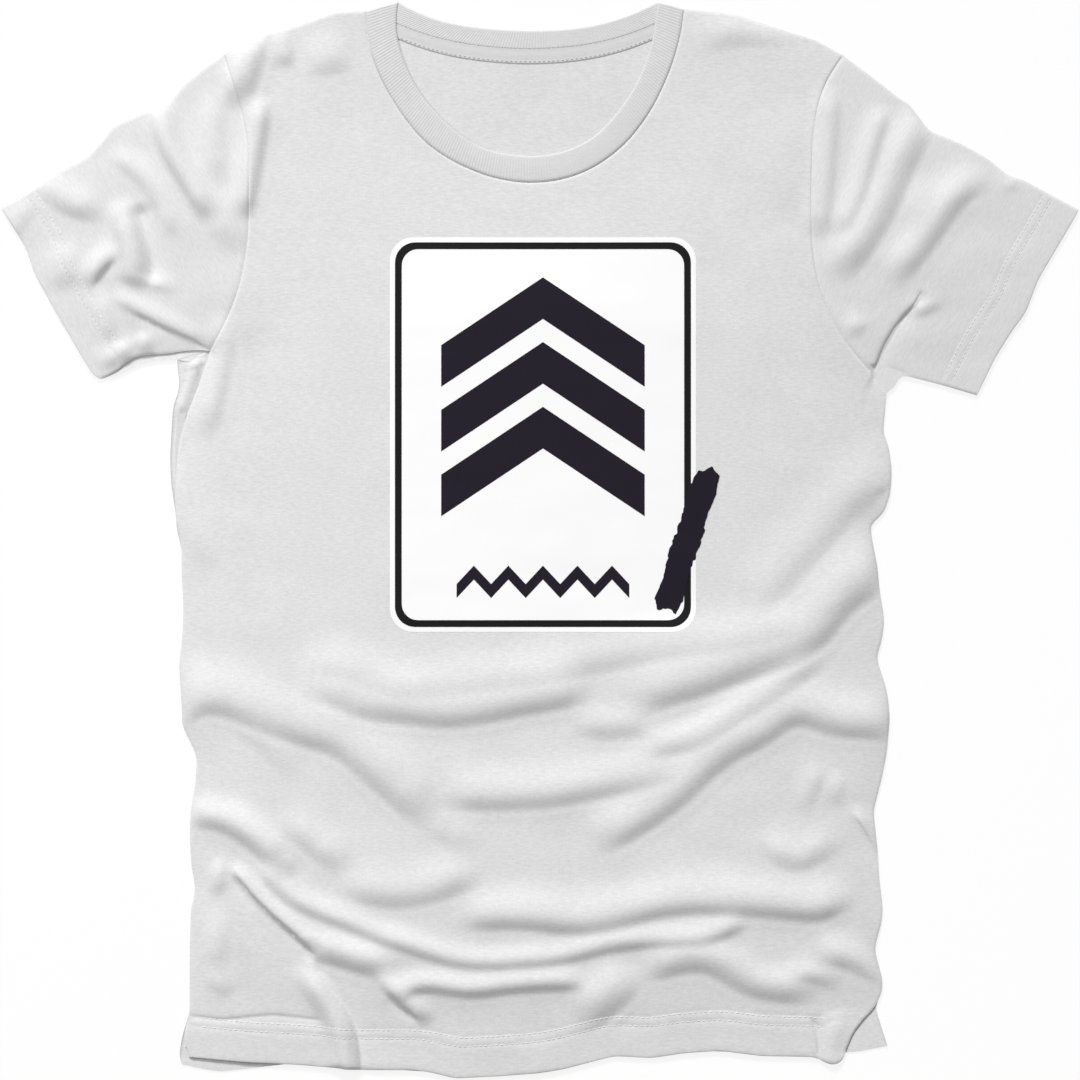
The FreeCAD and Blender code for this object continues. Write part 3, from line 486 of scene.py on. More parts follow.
def inside(points, loop):
    """Which points lie inside a closed loop."""
    odd = np.zeros(len(points), bool)
    x, y = points[:, 0], points[:, 1]
    for (ax, ay), (bx, by) in zip(loop, np.roll(loop, -1, axis=0)):
        if ay == by:
            continue
        crosses = (ay > y) != (by > y)
        odd ^= crosses & (x < ax + (bx - ax) * (y - ay) / (by - ay))
    return odd


def chain(*names):
    """Edges joined end to end; a minus sign turns one round."""
    parts = []
    for name in names:
        line = E[name.lstrip("-")]
        line = line[::-1] if name.startswith("-") else line
        parts.append(line[:-1])
    return np.vstack(parts)


SILHOUETTE = chain(
    "right_front_side", "hem", "left_front_side", "-left_underarm", "-left_cuff",
    "-left_sleeve_top", "-left_shoulder", "-left_neck_fold", "-right_neck_fold",
    "-right_shoulder", "right_sleeve_top", "right_cuff", "right_sleeve_fold",
)
CLOSED = [E[name] for name in (
    "right_front_side", "left_front_side", "left_underarm", "left_sleeve_top", "left_shoulder",
    "left_neck_fold", "right_neck_fold", "right_shoulder", "right_sleeve_top",
    "right_sleeve_fold",
)]
NECK_FOLDS = (E["right_neck_fold"], E["left_neck_fold"])


def fade(share, length, starts, ends, soft):
    """How much of a fold is left along it, with soft ends."""
    reach = min(0.45, soft / length)
    left = np.clip(share / reach, 0, 1) if starts else np.ones_like(share)
    right = np.clip((1 - share) / reach, 0, 1) if ends else np.ones_like(share)
    both = left * right
    return both * both * (3 - 2 * both)


def beside(points, traced, soft, step, reach):
    """The points near a traced line, their distance, side and share, and the line's length."""
    line = smooth(traced, soft, step)
    low, high = line.min(0) - reach, line.max(0) + reach
    near = np.flatnonzero(((points > low) & (points < high)).all(1))
    return near, *nearest(points[near], line), step * (len(line) - 1)


def fold_heights(points, folds):
    """The height that folds add at points: a steep flank with a crisp foot and a thin lip."""
    total = np.zeros(len(points))
    for height, steep, gentle, starts, ends, traced in folds:
        steep = steep * (WIDER if steep > BROAD else 1.0)
        near, distance, side, share, length = beside(
            points, traced, min(SOFT_FOLD, 2.0 * steep), 2.0, 2.5 * gentle
        )
        across = distance * side
        climb = np.clip((across + FLANK_START * steep) / (FLANK_REACH * steep), 0, 1)
        past = np.clip(across - BACK_START * steep, 0, None)
        bump = height * np.sin(np.pi / 2 * climb) ** FLANK_POWER
        bump = bump * np.exp(-((past / (BACK_REACH * gentle)) ** 2))
        foot = across + FLANK_START * steep + LIP_AWAY
        lip = LIP_SHARE * height * np.exp(-((foot / LIP_WIDTH) ** 2))
        total[near] += (bump + lip) * fade(share, length, starts, ends, FADE_SHARE * steep)
    return total


def crease_depths(points):
    """How far the sharp creases draw the cloth down."""
    total = np.zeros(len(points))
    for depth, left, right, starts, ends, traced in CREASES:
        near, distance, side, share, length = beside(
            points, traced, CREASE_SOFT, 1.0, 3.5 * max(left, right)
        )
        width = np.where(side > 0, left, right)
        valley = depth * np.exp(-np.sqrt((distance / width) ** 2 + 0.04) + 0.2)
        total[near] += valley * fade(share, length, starts, ends, CREASE_FADE)
    return total


def ripples(points, seed, longest, shortest, count, stretch=1.0):
    """A smooth random field of about unit size, made of waves."""
    random = np.random.default_rng(seed)
    wave = np.exp(random.uniform(np.log(shortest), np.log(longest), count))
    angle = random.uniform(0, np.pi, count)
    phase = random.uniform(0, 2 * np.pi, count)
    kx = 2 * np.pi / wave * np.cos(angle) / stretch
    ky = 2 * np.pi / wave * np.sin(angle)
    size = wave / longest
    total = np.zeros(len(points))
    for i in range(count):
        total += size[i] * np.sin(points[:, 0] * kx[i] + points[:, 1] * ky[i] + phase[i])
    return total / np.sqrt((size ** 2).sum() / 2)


# The grid on which the upper cloth's height is worked out
GRID_STEP = 1.5
GRID_HALF = 372.0
axis = np.arange(-GRID_HALF, GRID_HALF + GRID_STEP / 2, GRID_STEP)
GRID = np.array(np.meshgrid(axis, axis, indexing="ij")).reshape(2, -1).T
GRID_SHAPE = (len(axis), len(axis))
GRID_BLUR = 0.75


def blurred(values, cells):
    """Values on the grid, blurred by a number of cells."""
    square = values.reshape(GRID_SHAPE)
    reach = int(np.ceil(3 * cells))
    weights = bell(reach, cells)
    for turn in (0, 1):
        padded = np.pad(square, ((reach, reach), (0, 0)), mode="edge")
        square = sum(w * padded[i:i + len(square)] for i, w in enumerate(weights))
        square = square.T
    return square.reshape(-1)


def cloth_field():
    """The height of the upper cloth on the grid."""
    x, y = GRID.T
    within = inside(GRID, SILHOUETTE)
    depth, mouth = np.zeros(len(GRID)), np.zeros(len(GRID))
    depth[within] = distance_to(GRID[within], *CLOSED)
    mouths = (E["hem"], E["right_cuff"], E["left_cuff"], E["rib_edge"])
    mouth[within] = distance_to(GRID[within], *mouths)
    gap = MOUTH_GAP + (AIR_GAP - MOUTH_GAP) * (1 - np.exp(-((mouth / MOUTH_SOFTNESS) ** 2)))
    flat = np.clip((y - FLAT_FROM) / FLAT_OVER, 0, 1)
    rise = (1 - np.exp(-depth / EDGE_SOFTNESS)) * (1 - FLAT_SHARE * flat)
    fold_rise = 1 - np.exp(-depth / FOLD_SOFTNESS)
    low = np.clip((LOW_FROM - y) / LOW_OVER, 0, 1)
    sleeves = np.clip((np.abs(x) - SLEEVES_FROM) / SLEEVES_OVER, 0, 1) * (y > LOW_FROM)
    calm = CALM + LIVELY * np.maximum(low, sleeves)
    waves = ripples(GRID, 5, 70, 22, 60, WAVE_STRETCH[0]) * calm
    fine = ripples(GRID, 9, 20, 8, 60, WAVE_STRETCH[1]) * calm * FINE_SHARE
    folds = FOLD_GAIN * fold_heights(GRID, FOLDS)
    folds = MOST_FOLD * np.tanh(folds / MOST_FOLD) + waves + fine
    return blurred(EDGE_TOP + gap * rise + folds * fold_rise, GRID_BLUR)


FIELD = cloth_field().reshape(GRID_SHAPE)


def cloth_top(points):
    """The height of the upper cloth at any points, from the grid by a cubic blend."""
    place = (points + GRID_HALF) / GRID_STEP
    cell = np.clip(np.floor(place).astype(int), 1, GRID_SHAPE[0] - 3)
    t = place - cell
    weights = [
        ((1 - t) ** 3) / 6, (3 * t ** 3 - 6 * t ** 2 + 4) / 6,
        (-3 * t ** 3 + 3 * t ** 2 + 3 * t + 1) / 6, (t ** 3) / 6,
    ]
    total = np.zeros(len(points))
    for i in range(4):
        for j in range(4):
            height = FIELD[cell[:, 0] + i - 1, cell[:, 1] + j - 1]
            total += weights[i][:, 0] * weights[j][:, 1] * height
    return total


def toward(height, goal, distance, radius):
    """A height that falls softly to a goal at an edge, from a radius away."""
    gone = 1 - np.clip(distance / radius, 0, 1)
    return goal + (height - goal) * (1 - gone ** 2)


def offset_ring(loop, distance):
    """Points inside a loop, at a distance from it."""
    way = np.roll(loop, -1, axis=0) - np.roll(loop, 1, axis=0)
    way /= np.maximum(np.hypot(*way.T), 1e-9)[:, None]
    area = (loop[:, 0] * np.roll(loop[:, 1], -1) - loop[:, 1] * np.roll(loop[:, 0], -1)).sum()
    inward = np.column_stack([-way[:, 1], way[:, 0]]) * (1 if area > 0 else -1)
    ring = loop + inward * distance
    closed = np.vstack([loop, loop[:1]])
    return ring[nearest(ring, closed)[0] > 0.93 * distance]


def triangulated(loop, spacing, rings, rows=()):
    """A flat mesh of a closed loop, with rings inside its edge and rows of points."""
    closed = np.vstack([loop, loop[:1]])
    kept = np.vstack([loop] + [offset_ring(loop, distance) for distance in rings])
    clear = rings[-1] if rings else 0

    def fitting(points, from_edge, from_kept):
        """The points inside that keep clear of the edge and of the points kept so far."""
        points = points[inside(points, loop)]
        points = points[nearest(points, closed)[0] > clear + from_edge]
        return points[closest(points, kept)[1] > from_kept]

    for row in rows:
        kept = np.vstack([kept, fitting(row, 0.5, 0.5)])
    low, high = loop.min(0), loop.max(0)
    grid = []
    for i, y in enumerate(np.arange(low[1], high[1], spacing * 0.866)):
        x = np.arange(low[0] + (i % 2) * spacing / 2, high[0], spacing)
        grid.append(np.column_stack([x, np.full(len(x), y)]))
    points = np.vstack([kept, fitting(np.vstack(grid), 0.6 * spacing, 0.55 * spacing)])
    count = len(loop)
    edges = [(i, (i + 1) % count) for i in range(count)]
    flat, _, faces, _, _, _ = delaunay_2d_cdt(
        [Vector(p) for p in points.tolist()], edges, [], 1, 1e-5
    )
    return np.array([tuple(v) for v in flat]), np.array([tuple(f) for f in faces])


def rim_of(triangles, count):
    """The edges that only one triangle has, in the triangles' direction."""
    pairs = np.vstack([triangles[:, [0, 1]], triangles[:, [1, 2]], triangles[:, [2, 0]]])
    code = pairs[:, 0] * count + pairs[:, 1]
    back = pairs[:, 1] * count + pairs[:, 0]
    return pairs[~np.isin(code, back)]


def make_piece(name, parts, material, node=None):
    """A smooth piece from points in millimetres and faces, in place of a node."""
    points, faces = parts
    mesh = bpy.data.meshes.new(name)
    mesh.from_pydata((np.asarray(points) * MM).tolist(), [], [list(f) for f in faces])
    mesh.validate()
    mesh.update()
    mesh.shade_smooth()
    mesh.set_sharp_from_angle(angle=SHARP)
    mesh.materials.append(material)
    made = bpy.data.objects.new(name, mesh)
    bpy.context.scene.collection.objects.link(made)
    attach(made, "root")
    if node:
        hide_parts(node)
    return made


def shell_parts(loop, top, bottom, spacing=SPACING, rings=(0.25, 0.7, 1.4, 2.4), rows=(),
                under=None):
    """Points and faces of a thin closed shell between two heights over a loop."""
    flat, triangles = triangulated(loop, spacing, rings, rows)
    below, below_faces = triangulated(loop, under or spacing, rings[1:])
    count = len(flat)
    rim = rim_of(triangles, count)
    ends = np.unique(rim)
    match = dict(zip(ends.tolist(), (closest(flat[ends], below)[0] + count).tolist()))
    walls = [[b, a, match[a], match[b]] for a, b in rim.tolist()]
    points = np.vstack([
        np.column_stack([flat, top(flat)]),
        np.column_stack([below, bottom(below)]),
    ])
    faces = triangles.tolist() + (below_faces[:, ::-1] + count).tolist() + walls
    return points, faces


def joined(*parts):
    """Several lots of points and faces as one."""
    points, faces, start = [], [], 0
    for some_points, some_faces in parts:
        points.append(some_points)
        faces += [[i + start for i in face] for face in some_faces]
        start += len(some_points)
    return np.vstack(points), faces


def settle(node, **values):
    """Sets a node's settings and the values of its sockets."""
    for key, value in values.items():
        if hasattr(node, key):
            setattr(node, key, value)
        else:
            node.inputs[key.replace("_", " ")].default_value = value
    return node


def add(nodes, kind, **values):
    """A new node with its settings and the values of its sockets."""
    return settle(nodes.new(kind), **values)


def new_material(name, **values):
    """A node material, its nodes and links, and its shader with the values given."""
    material = bpy.data.materials.new(name)
    material.use_nodes = True
    nodes = material.node_tree.nodes
    shader = settle(nodes["Principled BSDF"], **values)
    return material, nodes, material.node_tree.links, shader


def noise(nodes, links, place, scale, detail, roughness):
    """A noise texture's value at a place."""
    made = add(nodes, "ShaderNodeTexNoise", Scale=scale, Detail=detail, Roughness=roughness)
    links.new(place, made.inputs["Vector"])
    return made.outputs["Fac"]


def plus_share(nodes, links, first, share, second):
    """A share of the first value, plus the second."""
    made = add(nodes, "ShaderNodeMath", operation="MULTIPLY_ADD")
    links.new(first, made.inputs[0])
    made.inputs[1].default_value = share
    links.new(second, made.inputs[2])
    return made.outputs[0]


def colour_and_grain(nodes, links, shader, tone, dark, light, relief, strength, distance):
    """Colours a shader between dark and light by a tone, and raises a fine relief."""
    ramp = add(nodes, "ShaderNodeValToRGB")
    for stop, color in zip(ramp.color_ramp.elements, (dark, light)):
        stop.color = (*color, 1)
    links.new(tone, ramp.inputs["Fac"])
    links.new(ramp.outputs["Color"], shader.inputs["Base Color"])
    raised = add(nodes, "ShaderNodeBump", Strength=strength, Distance=distance)
    links.new(relief, raised.inputs["Height"])
    links.new(raised.outputs["Normal"], shader.inputs["Normal"])


def cloth_material(name, color, turn=0.0, streak=0.11):
    """Heather jersey: fine streaks along the courses, knit columns and a soft nap."""
    material, nodes, links, shader = new_material(
        name, Roughness=0.92, Specular_IOR_Level=0.2, Sheen_Weight=0.08
    )
    place = add(nodes, "ShaderNodeTexCoord").outputs["Object"]
    turned = add(nodes, "ShaderNodeMapping", Rotation=(0, 0, turn))
    long = add(nodes, "ShaderNodeMapping", Scale=STREAK_SCALE)
    columns = add(nodes, "ShaderNodeTexWave", wave_type="BANDS", bands_direction="X",
                  Scale=0.314 / KNIT, Distortion=1.2, Detail=1.0)
    links.new(place, turned.inputs["Vector"])
    turned = turned.outputs["Vector"]
    links.new(turned, long.inputs["Vector"])
    links.new(turned, columns.inputs["Vector"])
    streaks = noise(nodes, links, long.outputs["Vector"], 1.0, 3.0, 0.6)
    nap = noise(nodes, links, turned, 900.0, 2.0, 0.7)
    patches = noise(nodes, links, turned, 28.0, 2.0, 0.5)
    mixed = plus_share(nodes, links, nap, 0.5, streaks)
    tone = add(nodes, "ShaderNodeMapRange", From_Min=0.55, From_Max=1.2)
    links.new(plus_share(nodes, links, patches, 0.25, mixed), tone.inputs["Value"])
    relief = plus_share(nodes, links, columns.outputs["Fac"], 0.35, mixed)
    dark = [c * (1 - streak) for c in color]
    light = [min(1, c * (1 + streak)) for c in color]
    colour_and_grain(nodes, links, shader, tone.outputs["Result"], dark, light, relief,
                     0.16, 0.0003)
    return material


def ink_material(name, color, grain):
    """Screen print: an even colour with the cloth's grain showing through."""
    material, nodes, links, shader = new_material(
        name, Roughness=0.75, Specular_IOR_Level=0.25
    )
    place = add(nodes, "ShaderNodeTexCoord").outputs["Object"]
    tone = noise(nodes, links, place, 700.0, 3.0, 0.6)
    dark = [max(0, c - grain) for c in color]
    light = [min(1, c + grain) for c in color]
    colour_and_grain(nodes, links, shader, tone, dark, light, tone, 0.12, 0.0002)
    return material


jersey = cloth_material("jersey", CLOTH_COLOR)
jersey_right = cloth_material("jersey_right", CLOTH_COLOR, RIGHT_TURN, streak=0.09)
jersey_left = cloth_material("jersey_left", CLOTH_COLOR, LEFT_TURN, streak=0.09)
rib_knit = cloth_material("rib_knit", (0.69, 0.69, 0.69), streak=0.06)
tape_cloth = cloth_material("tape_cloth", (0.68, 0.68, 0.68), streak=0.06)
thread = cloth_material("thread", (0.79, 0.79, 0.79), streak=0.02)
# A darker copy of the thread for the neck stitches: painted shade inside the neck
shaded_neck_thread = cloth_material("shaded_neck_thread", (0.5, 0.5, 0.5), streak=0.02)
white_ink = ink_material("white_ink", (0.97, 0.97, 0.97), 0.01)
black_ink = ink_material("black_ink", (0.004, 0.004, 0.004), 0.002)
dark_ink = ink_material("dark_ink", (0.009, 0.005, 0.015), 0.002)


def hem_parts(points):
    """How far the turned hems lift the cloth, 0 to 1, and how far the stitches pull it down."""
    bulk, dips = np.zeros(len(points)), np.zeros(len(points))
    for lines, rows in (((E["hem"],), HEM_ROWS), ((E["right_cuff"], E["left_cuff"]), CUFF_ROWS)):
        distance = distance_to(points, *lines)
        bulk = np.maximum(bulk, np.clip((rows[1] + 0.8 - distance) / 0.9, 0, 1))
        for row in rows:
            dips = np.maximum(dips, np.exp(-(((distance - row) / 1.1) ** 2)))
    return bulk, STITCH_DIP * dips


def surface(points):
    """The upper face of the upper cloth with its hems."""
    bulk, dips = hem_parts(points)
    return cloth_top(points) + HEM_STEP * bulk - dips - crease_depths(points)


# Rows of mesh points beside the stitching and beside the creases
STITCH_SIDES = (-1.7, -0.8, 0.0, 0.8, 1.7)
CREASE_SIDES = (-5.0, -3.2, -1.9, -1.0, -0.4, 0.0, 0.5, 1.1, 2.0, 3.4)
BACK_FOLD_SIDES = (-2.5, 0, 2.5, 5)


def detail_rows():
    """Rows of mesh points along the stitching and the creases."""
    rows = []
    for name, sign, seams in (("hem", 1, HEM_ROWS), ("right_cuff", 1, CUFF_ROWS),
                              ("left_cuff", -1, CUFF_ROWS)):
        rows += [inset_line(E[name], row + aside, sign) for row in seams
                 for aside in STITCH_SIDES]
    for *_, traced in CREASES:
        line = smooth(traced, CREASE_SOFT, 1.2)
        rows += [inset_line(line, aside, 1, 1.2) for aside in CREASE_SIDES]
    return rows


def upper_shell(loop, closed, seams, free, roll=SEAM_ROLL):
    """A piece of the upper cloth, rolled down at its closed edges, seams and free edges."""
    def rolled(p, z, seam_goal, free_goal, level):
        z = toward(z, z - seam_goal, distance_to(p, *seams), roll)
        z = toward(z, z + free_goal, distance_to(p, *free), CLOTH)
        return toward(z, level, distance_to(p, *closed), EDGE_ROLL)

    def top(p):
        z = rolled(p, surface(p), SEAM_DIP, -FREE_DIP, SEAM_LEVEL + SEAM_LIP)
        return np.maximum(z, LEAST_TOP)

    def bottom(p):
        thick = CLOTH * (1 + hem_parts(p)[0])
        z = rolled(p, surface(p) - thick, UNDER_SEAM_DIP, thick - CLOTH, SEAM_LEVEL)
        return np.maximum(z, LEAST_TOP - CLOTH)

    return shell_parts(loop, top, bottom, rows=detail_rows(), under=UNDER_SPACING)


def lower_shell(loop, closed, roll=EDGE_ROLL):
    """A piece of the lower cloth, flat on the surface with its closed edges turned up."""
    def lift(p):
        return fold_heights(p, BACK_FOLDS) * (1 - np.exp(-distance_to(p, *closed) / 3))

    def top(p):
        return toward(CLOTH + lift(p), SEAM_LEVEL - 0.05, distance_to(p, *closed), roll)

    def bottom(p):
        return toward(lift(p), SEAM_LEVEL - 0.35, distance_to(p, *closed), roll)

    rows = [
        inset_line(smooth(traced, 2.0, 1.5), aside, 1, 1.5)
        for *_, traced in BACK_FOLDS for aside in BACK_FOLD_SIDES
    ]
    return shell_parts(loop, top, bottom, LOWER_SPACING, rows=rows)


def make_front():
    """The front panel."""
    loop = chain("right_front_side", "hem", "left_front_side", "-left_armhole", "-left_shoulder",
                 "-neck_seam", "-right_shoulder", "right_armhole")
    closed = (E["right_front_side"], E["left_front_side"], E["left_shoulder"],
              E["right_shoulder"])
    seams = (E["left_armhole"], E["right_armhole"], E["neck_seam"])
    parts = upper_shell(loop, closed, seams, (E["hem"],))
    return make_piece("front", parts, jersey, "front_panel")


def make_back():
    """The back panel."""
    loop = chain("right_side", "back_hem", "left_side", "-left_armhole", "-left_shoulder",
                 "-back_neck_seam", "-right_shoulder", "right_armhole")
    closed = (E["right_side"], E["left_side"], E["left_shoulder"], E["right_shoulder"])
    return make_piece("back", lower_shell(loop, closed), jersey, "back_panel")


def make_sleeve(side, material):
    """A sleeve, an upper and a lower layer joined along its top and its underarm."""
    top, cuff = side + "_sleeve_top", side + "_cuff"
    underarm, armhole = side + "_underarm", side + "_armhole"
    fold = "right_sleeve_fold" if side == "right" else underarm
    loop = chain(top, cuff, fold, "-" + armhole)
    upper = upper_shell(loop, (E[top], E[fold]), (E[armhole],), (E[cuff],), SLEEVE_ROLL)
    loop = chain(top, cuff, underarm, "-" + armhole)
    lower = lower_shell(loop, (E[top], E[underarm]), UNDERARM_ROLL)
    return make_piece(side + "_sleeve_cloth", joined(upper, lower), material,
                      side + "_sleeve")


def ladder(first, second, across, top, bottom):
    """A closed band between two rows of points, with its upper and lower faces."""
    share = np.asarray(across)[:, None, None]
    flat = first * (1 - share) + second * share
    rows, columns = flat.shape[:2]
    points = flat.reshape(-1, 2)
    u = np.repeat(across, columns)
    v = np.tile(np.arange(columns), rows)
    upper = np.column_stack([points, top(points, u, v)])
    lower = np.column_stack([points, bottom(points, u, v)])
    index = np.arange(rows * columns).reshape(rows, columns)
    a, b = index[:-1, :-1].ravel(), index[:-1, 1:].ravel()
    c, d = index[1:, 1:].ravel(), index[1:, :-1].ravel()
    count = rows * columns
    rim = np.r_[index[0], index[1:, -1], index[-1, -2::-1], index[-2:0:-1, 0]]
    nxt = np.roll(rim, -1)
    way = np.cross(flat[0, 1] - flat[0, 0], flat[1, 0] - flat[0, 0]) > 0
    faces_up = np.column_stack([a, b, c, d]) if way else np.column_stack([d, c, b, a])
    faces_down = faces_up[:, ::-1] + count
    walls = np.column_stack([nxt, rim, rim + count, nxt + count])
    walls = walls if way else walls[:, ::-1]
    faces = faces_up.tolist() + faces_down.tolist() + walls.tolist()
    return np.vstack([upper, lower]), faces


def make_collar():
    """The neck rib: a front band on the drape and a back band that lies on the surface."""
    across = np.array([0, 0.012, 0.035, 0.07, 0.13, 0.25, 0.4, 0.55, 0.7, 0.83, 0.91, 0.955,
                       0.98, 1.0])

    def relief(u, v):
        wave = 0.5 - 0.5 * np.cos(2 * np.pi * v / PER_RIB)
        return RIB_RELIEF * wave * np.clip(u / 0.08, 0, 1) * np.clip((1 - u) / 0.06, 0, 1)

    def at_folds(p, z, level):
        return toward(z, level, distance_to(p, *NECK_FOLDS), EDGE_ROLL)

    def top(p, u, v):
        z = cloth_top(p) + RIB_PROUD + RIB_CROWN * np.sin(np.pi * u) + relief(u, v)
        z = toward(z, z - RIB / 2, u * RIB_WIDTH, RIB_ROLL)
        z = toward(z, z - 0.9, (1 - u) * RIB_WIDTH, SEAM_ROLL)
        return at_folds(p, z, SEAM_LEVEL + SEAM_LIP)

    def bottom(p, u, v):
        z = cloth_top(p) + RIB_PROUD - RIB
        return at_folds(p, toward(z, z + RIB / 2, u * RIB_WIDTH, RIB_ROLL), SEAM_LEVEL)

    def back_top(p, u, v):
        z = RIB + relief(u, v)
        z = toward(z, z - RIB / 2, u * BACK_RIB_WIDTH, RIB_ROLL)
        z = toward(z, z - 0.6, (1 - u) * BACK_RIB_WIDTH, RIB_ROLL)
        return at_folds(p, z, SEAM_LEVEL - 0.05)

    def back_bottom(p, u, v):
        z = toward(np.zeros(len(p)), RIB / 2 - 0.05, u * BACK_RIB_WIDTH, RIB_ROLL)
        return at_folds(p, z, SEAM_LEVEL - 0.35)

    def band(edge, seam, high, low):
        count = int(EDGE_STEP * len(E[seam]) / RIB_PITCH) * PER_RIB + 1
        return ladder(evenly(E[edge], count), evenly(E[seam], count), across, high, low)

    front = band("rib_edge", "neck_seam", top, bottom)
    back = band("back_rib_edge", "back_neck_seam", back_top, back_bottom)
    return make_piece("neck_rib", joined(front, back), rib_knit, "collar_rib")


def make_tape():
    """The tape over the back neck seam."""
    upper = E["back_neck_seam"][4:-4] + np.array([0, 1.0])
    lower = upper - np.array([0, TAPE_WIDTH])
    across = np.array([0, 0.04, 0.1, 0.3, 0.5, 0.7, 0.9, 0.96, 1.0])

    def top(p, u, v):
        z = np.full(len(p), CLOTH + TAPE + TAPE_CROWN)
        for row in (0.13, 0.87):
            z -= TAPE_CROWN * np.exp(-(((u - row) / 0.06) ** 2))
        z = toward(z, z - 0.4, u * TAPE_WIDTH, 0.6)
        return toward(z, z - 0.4, (1 - u) * TAPE_WIDTH, 0.6)

    def bottom(p, u, v):
        return np.full(len(p), CLOTH + 0.02)

    parts = ladder(upper, lower, across, top, bottom)
    return make_piece("back_neck_tape", parts, tape_cloth, "neck_tape")


def stitch_row(line, length, pitch, thick, height):
    """A row of raised stitches along a line."""
    points, faces = [], []
    total = np.hypot(*np.diff(line, axis=0).T).sum()
    count = int(total / pitch)
    at = evenly(line, count * 2 + 1)
    middle, ahead = at[1::2], at[2::2] - at[1::2]
    ahead /= np.maximum(np.hypot(*ahead.T), 1e-9)[:, None]
    left = np.column_stack([-ahead[:, 1], ahead[:, 0]])
    along = np.array([-0.5, -0.42, -0.2, 0, 0.2, 0.42, 0.5]) * length
    fat = np.array([0.25, 0.75, 1, 1, 1, 0.75, 0.25]) * thick / 2
    dip = np.array([-0.3, -0.1, 0, 0.02, 0, -0.1, -0.3])
    round_count = 6
    angle = np.arange(round_count) * 2 * np.pi / round_count
    for k in range(count):
        centre = middle[k] + ahead[k] * along[:, None]
        z = height(centre) + dip
        start = len(points)
        for c, base, r in zip(centre, z, fat):
            for a in angle:
                side = left[k] * (np.cos(a) * r)
                points.append((c[0] + side[0], c[1] + side[1], base + np.sin(a) * r))
        for i in range(len(along) - 1):
            for j in range(round_count):
                a = start + i * round_count + j
                b = start + i * round_count + (j + 1) % round_count
                faces.append((a, b, b + round_count, a + round_count))
        last = start + (len(along) - 1) * round_count
        faces.append(tuple(range(start + round_count - 1, start - 1, -1)))
        faces.append(tuple(range(last, last + round_count)))
    return np.array(points), faces


def make_stitches():
    """The twin rows along the hem and the cuffs, and two rows at the back of the neck in a darker copy
    of the thread that paints the shade inside the neck.
    """
    def on_cloth(p):
        return surface(p) + 0.12

    def on_tape(p):
        return np.full(len(p), CLOTH + TAPE + 0.2)

    flat_hem = E["hem"][E["hem"][:, 0] < TURNED_UP]
    rows = [stitch_row(inset_line(flat_hem, row, 1)[3:-1], *HEM_STITCH, on_cloth)
            for row in HEM_ROWS]
    for side, sign in (("right", 1), ("left", -1)):
        rows += [stitch_row(inset_line(E[side + "_cuff"], row, sign)[2:-2], *CUFF_STITCH, on_cloth)
                 for row in CUFF_ROWS]
    seam = E["back_neck_seam"][6:-6] + np.array([0, 1.0])
    # The neck rows take the darker thread, which paints the shade inside the neck
    neck_rows = [stitch_row(seam - np.array([0, drop]), *NECK_STITCH, on_tape)
                 for drop in NECK_ROWS]
    return (make_piece("stitches", joined(*rows), thread),
            make_piece("neck_stitches", joined(*neck_rows), shaded_neck_thread))


def rounded(inset, step=2.0):
    """The outline of the print field, less an inset."""
    wide, high = PRINT_WIDE / 2 - inset, PRINT_HIGH / 2 - inset
    radius = PRINT_CORNER - inset * 0.6
    points = []
    for sx, sy, start in ((1, 1, 0), (-1, 1, 90), (-1, -1, 180), (1, -1, 270)):
        for degrees in np.linspace(start, start + 90, 13):
            a = np.radians(degrees)
            points.append((
                PRINT_X + sx * (wide - radius) + radius * np.cos(a),
                PRINT_Y + sy * (high - radius) + radius * np.sin(a),
            ))
    points.append(points[0])
    return resampled(np.array(points), step)


def closed_loop(corners, step=2.0):
    """The outline through corners, with points along its straight sides."""
    corners = np.array(corners)
    sides = [
        resampled(np.array([a, b]), step)[:-1]
        for a, b in zip(corners, np.roll(corners, -1, axis=0))
    ]
    return np.vstack(sides)


def film(name, loop, lift, material, node, spacing=FILM_SPACING):
    """A film of ink on the cloth."""
    parts = shell_parts(
        loop,
        lambda p: surface(p) + lift * FILM + 0.02,
        lambda p: surface(p) + (lift - 1) * FILM,
        spacing, (),
    )
    return make_piece(name, parts, material, node)


def make_border():
    """The line round the print."""
    outer, inner = rounded(BORDER_IN), rounded(BORDER_IN + BORDER_LINE)
    count = len(outer)
    parts = ladder(
        evenly(outer, count), evenly(inner, count), np.array([0, 0.5, 1.0]),
        lambda p, u, v: surface(p) + 2 * FILM + 0.03,
        lambda p, u, v: surface(p) + FILM,
    )
    return make_piece("border", parts, black_ink, "print_border")


def make_chevron(place, top):
    """One of the chevrons, with its tip at a height."""
    left, right, foot = PRINT_X - CHEVRON_HALF, PRINT_X + CHEVRON_HALF, top - CHEVRON_RISE
    loop = closed_loop([
        (left, foot), (left, foot - CHEVRON_BAR), (PRINT_X, top - CHEVRON_BAR),
        (right, foot - CHEVRON_BAR), (right, foot), (PRINT_X, top),
    ])
    return film("chevron_" + place, loop, 2, dark_ink, "print_chevron_" + place)


def make_zigzag():
    """The zigzag line low on the print."""
    low = PRINT_Y - PRINT_HIGH / 2 + ZIGZAG_LOW
    upper = [
        (PRINT_X - ZIGZAG_WIDE / 2 + ZIGZAG_WIDE * i / ZIGZAG_TURNS,
         low + ZIGZAG_BAR + (ZIGZAG_RISE if i % 2 else 0))
        for i in range(ZIGZAG_TURNS + 1)
    ]
    lower = [(x, y - ZIGZAG_BAR) for x, y in upper]
    return film("zigzag", closed_loop(lower + upper[::-1]), 2, dark_ink,
                "print_zigzag")


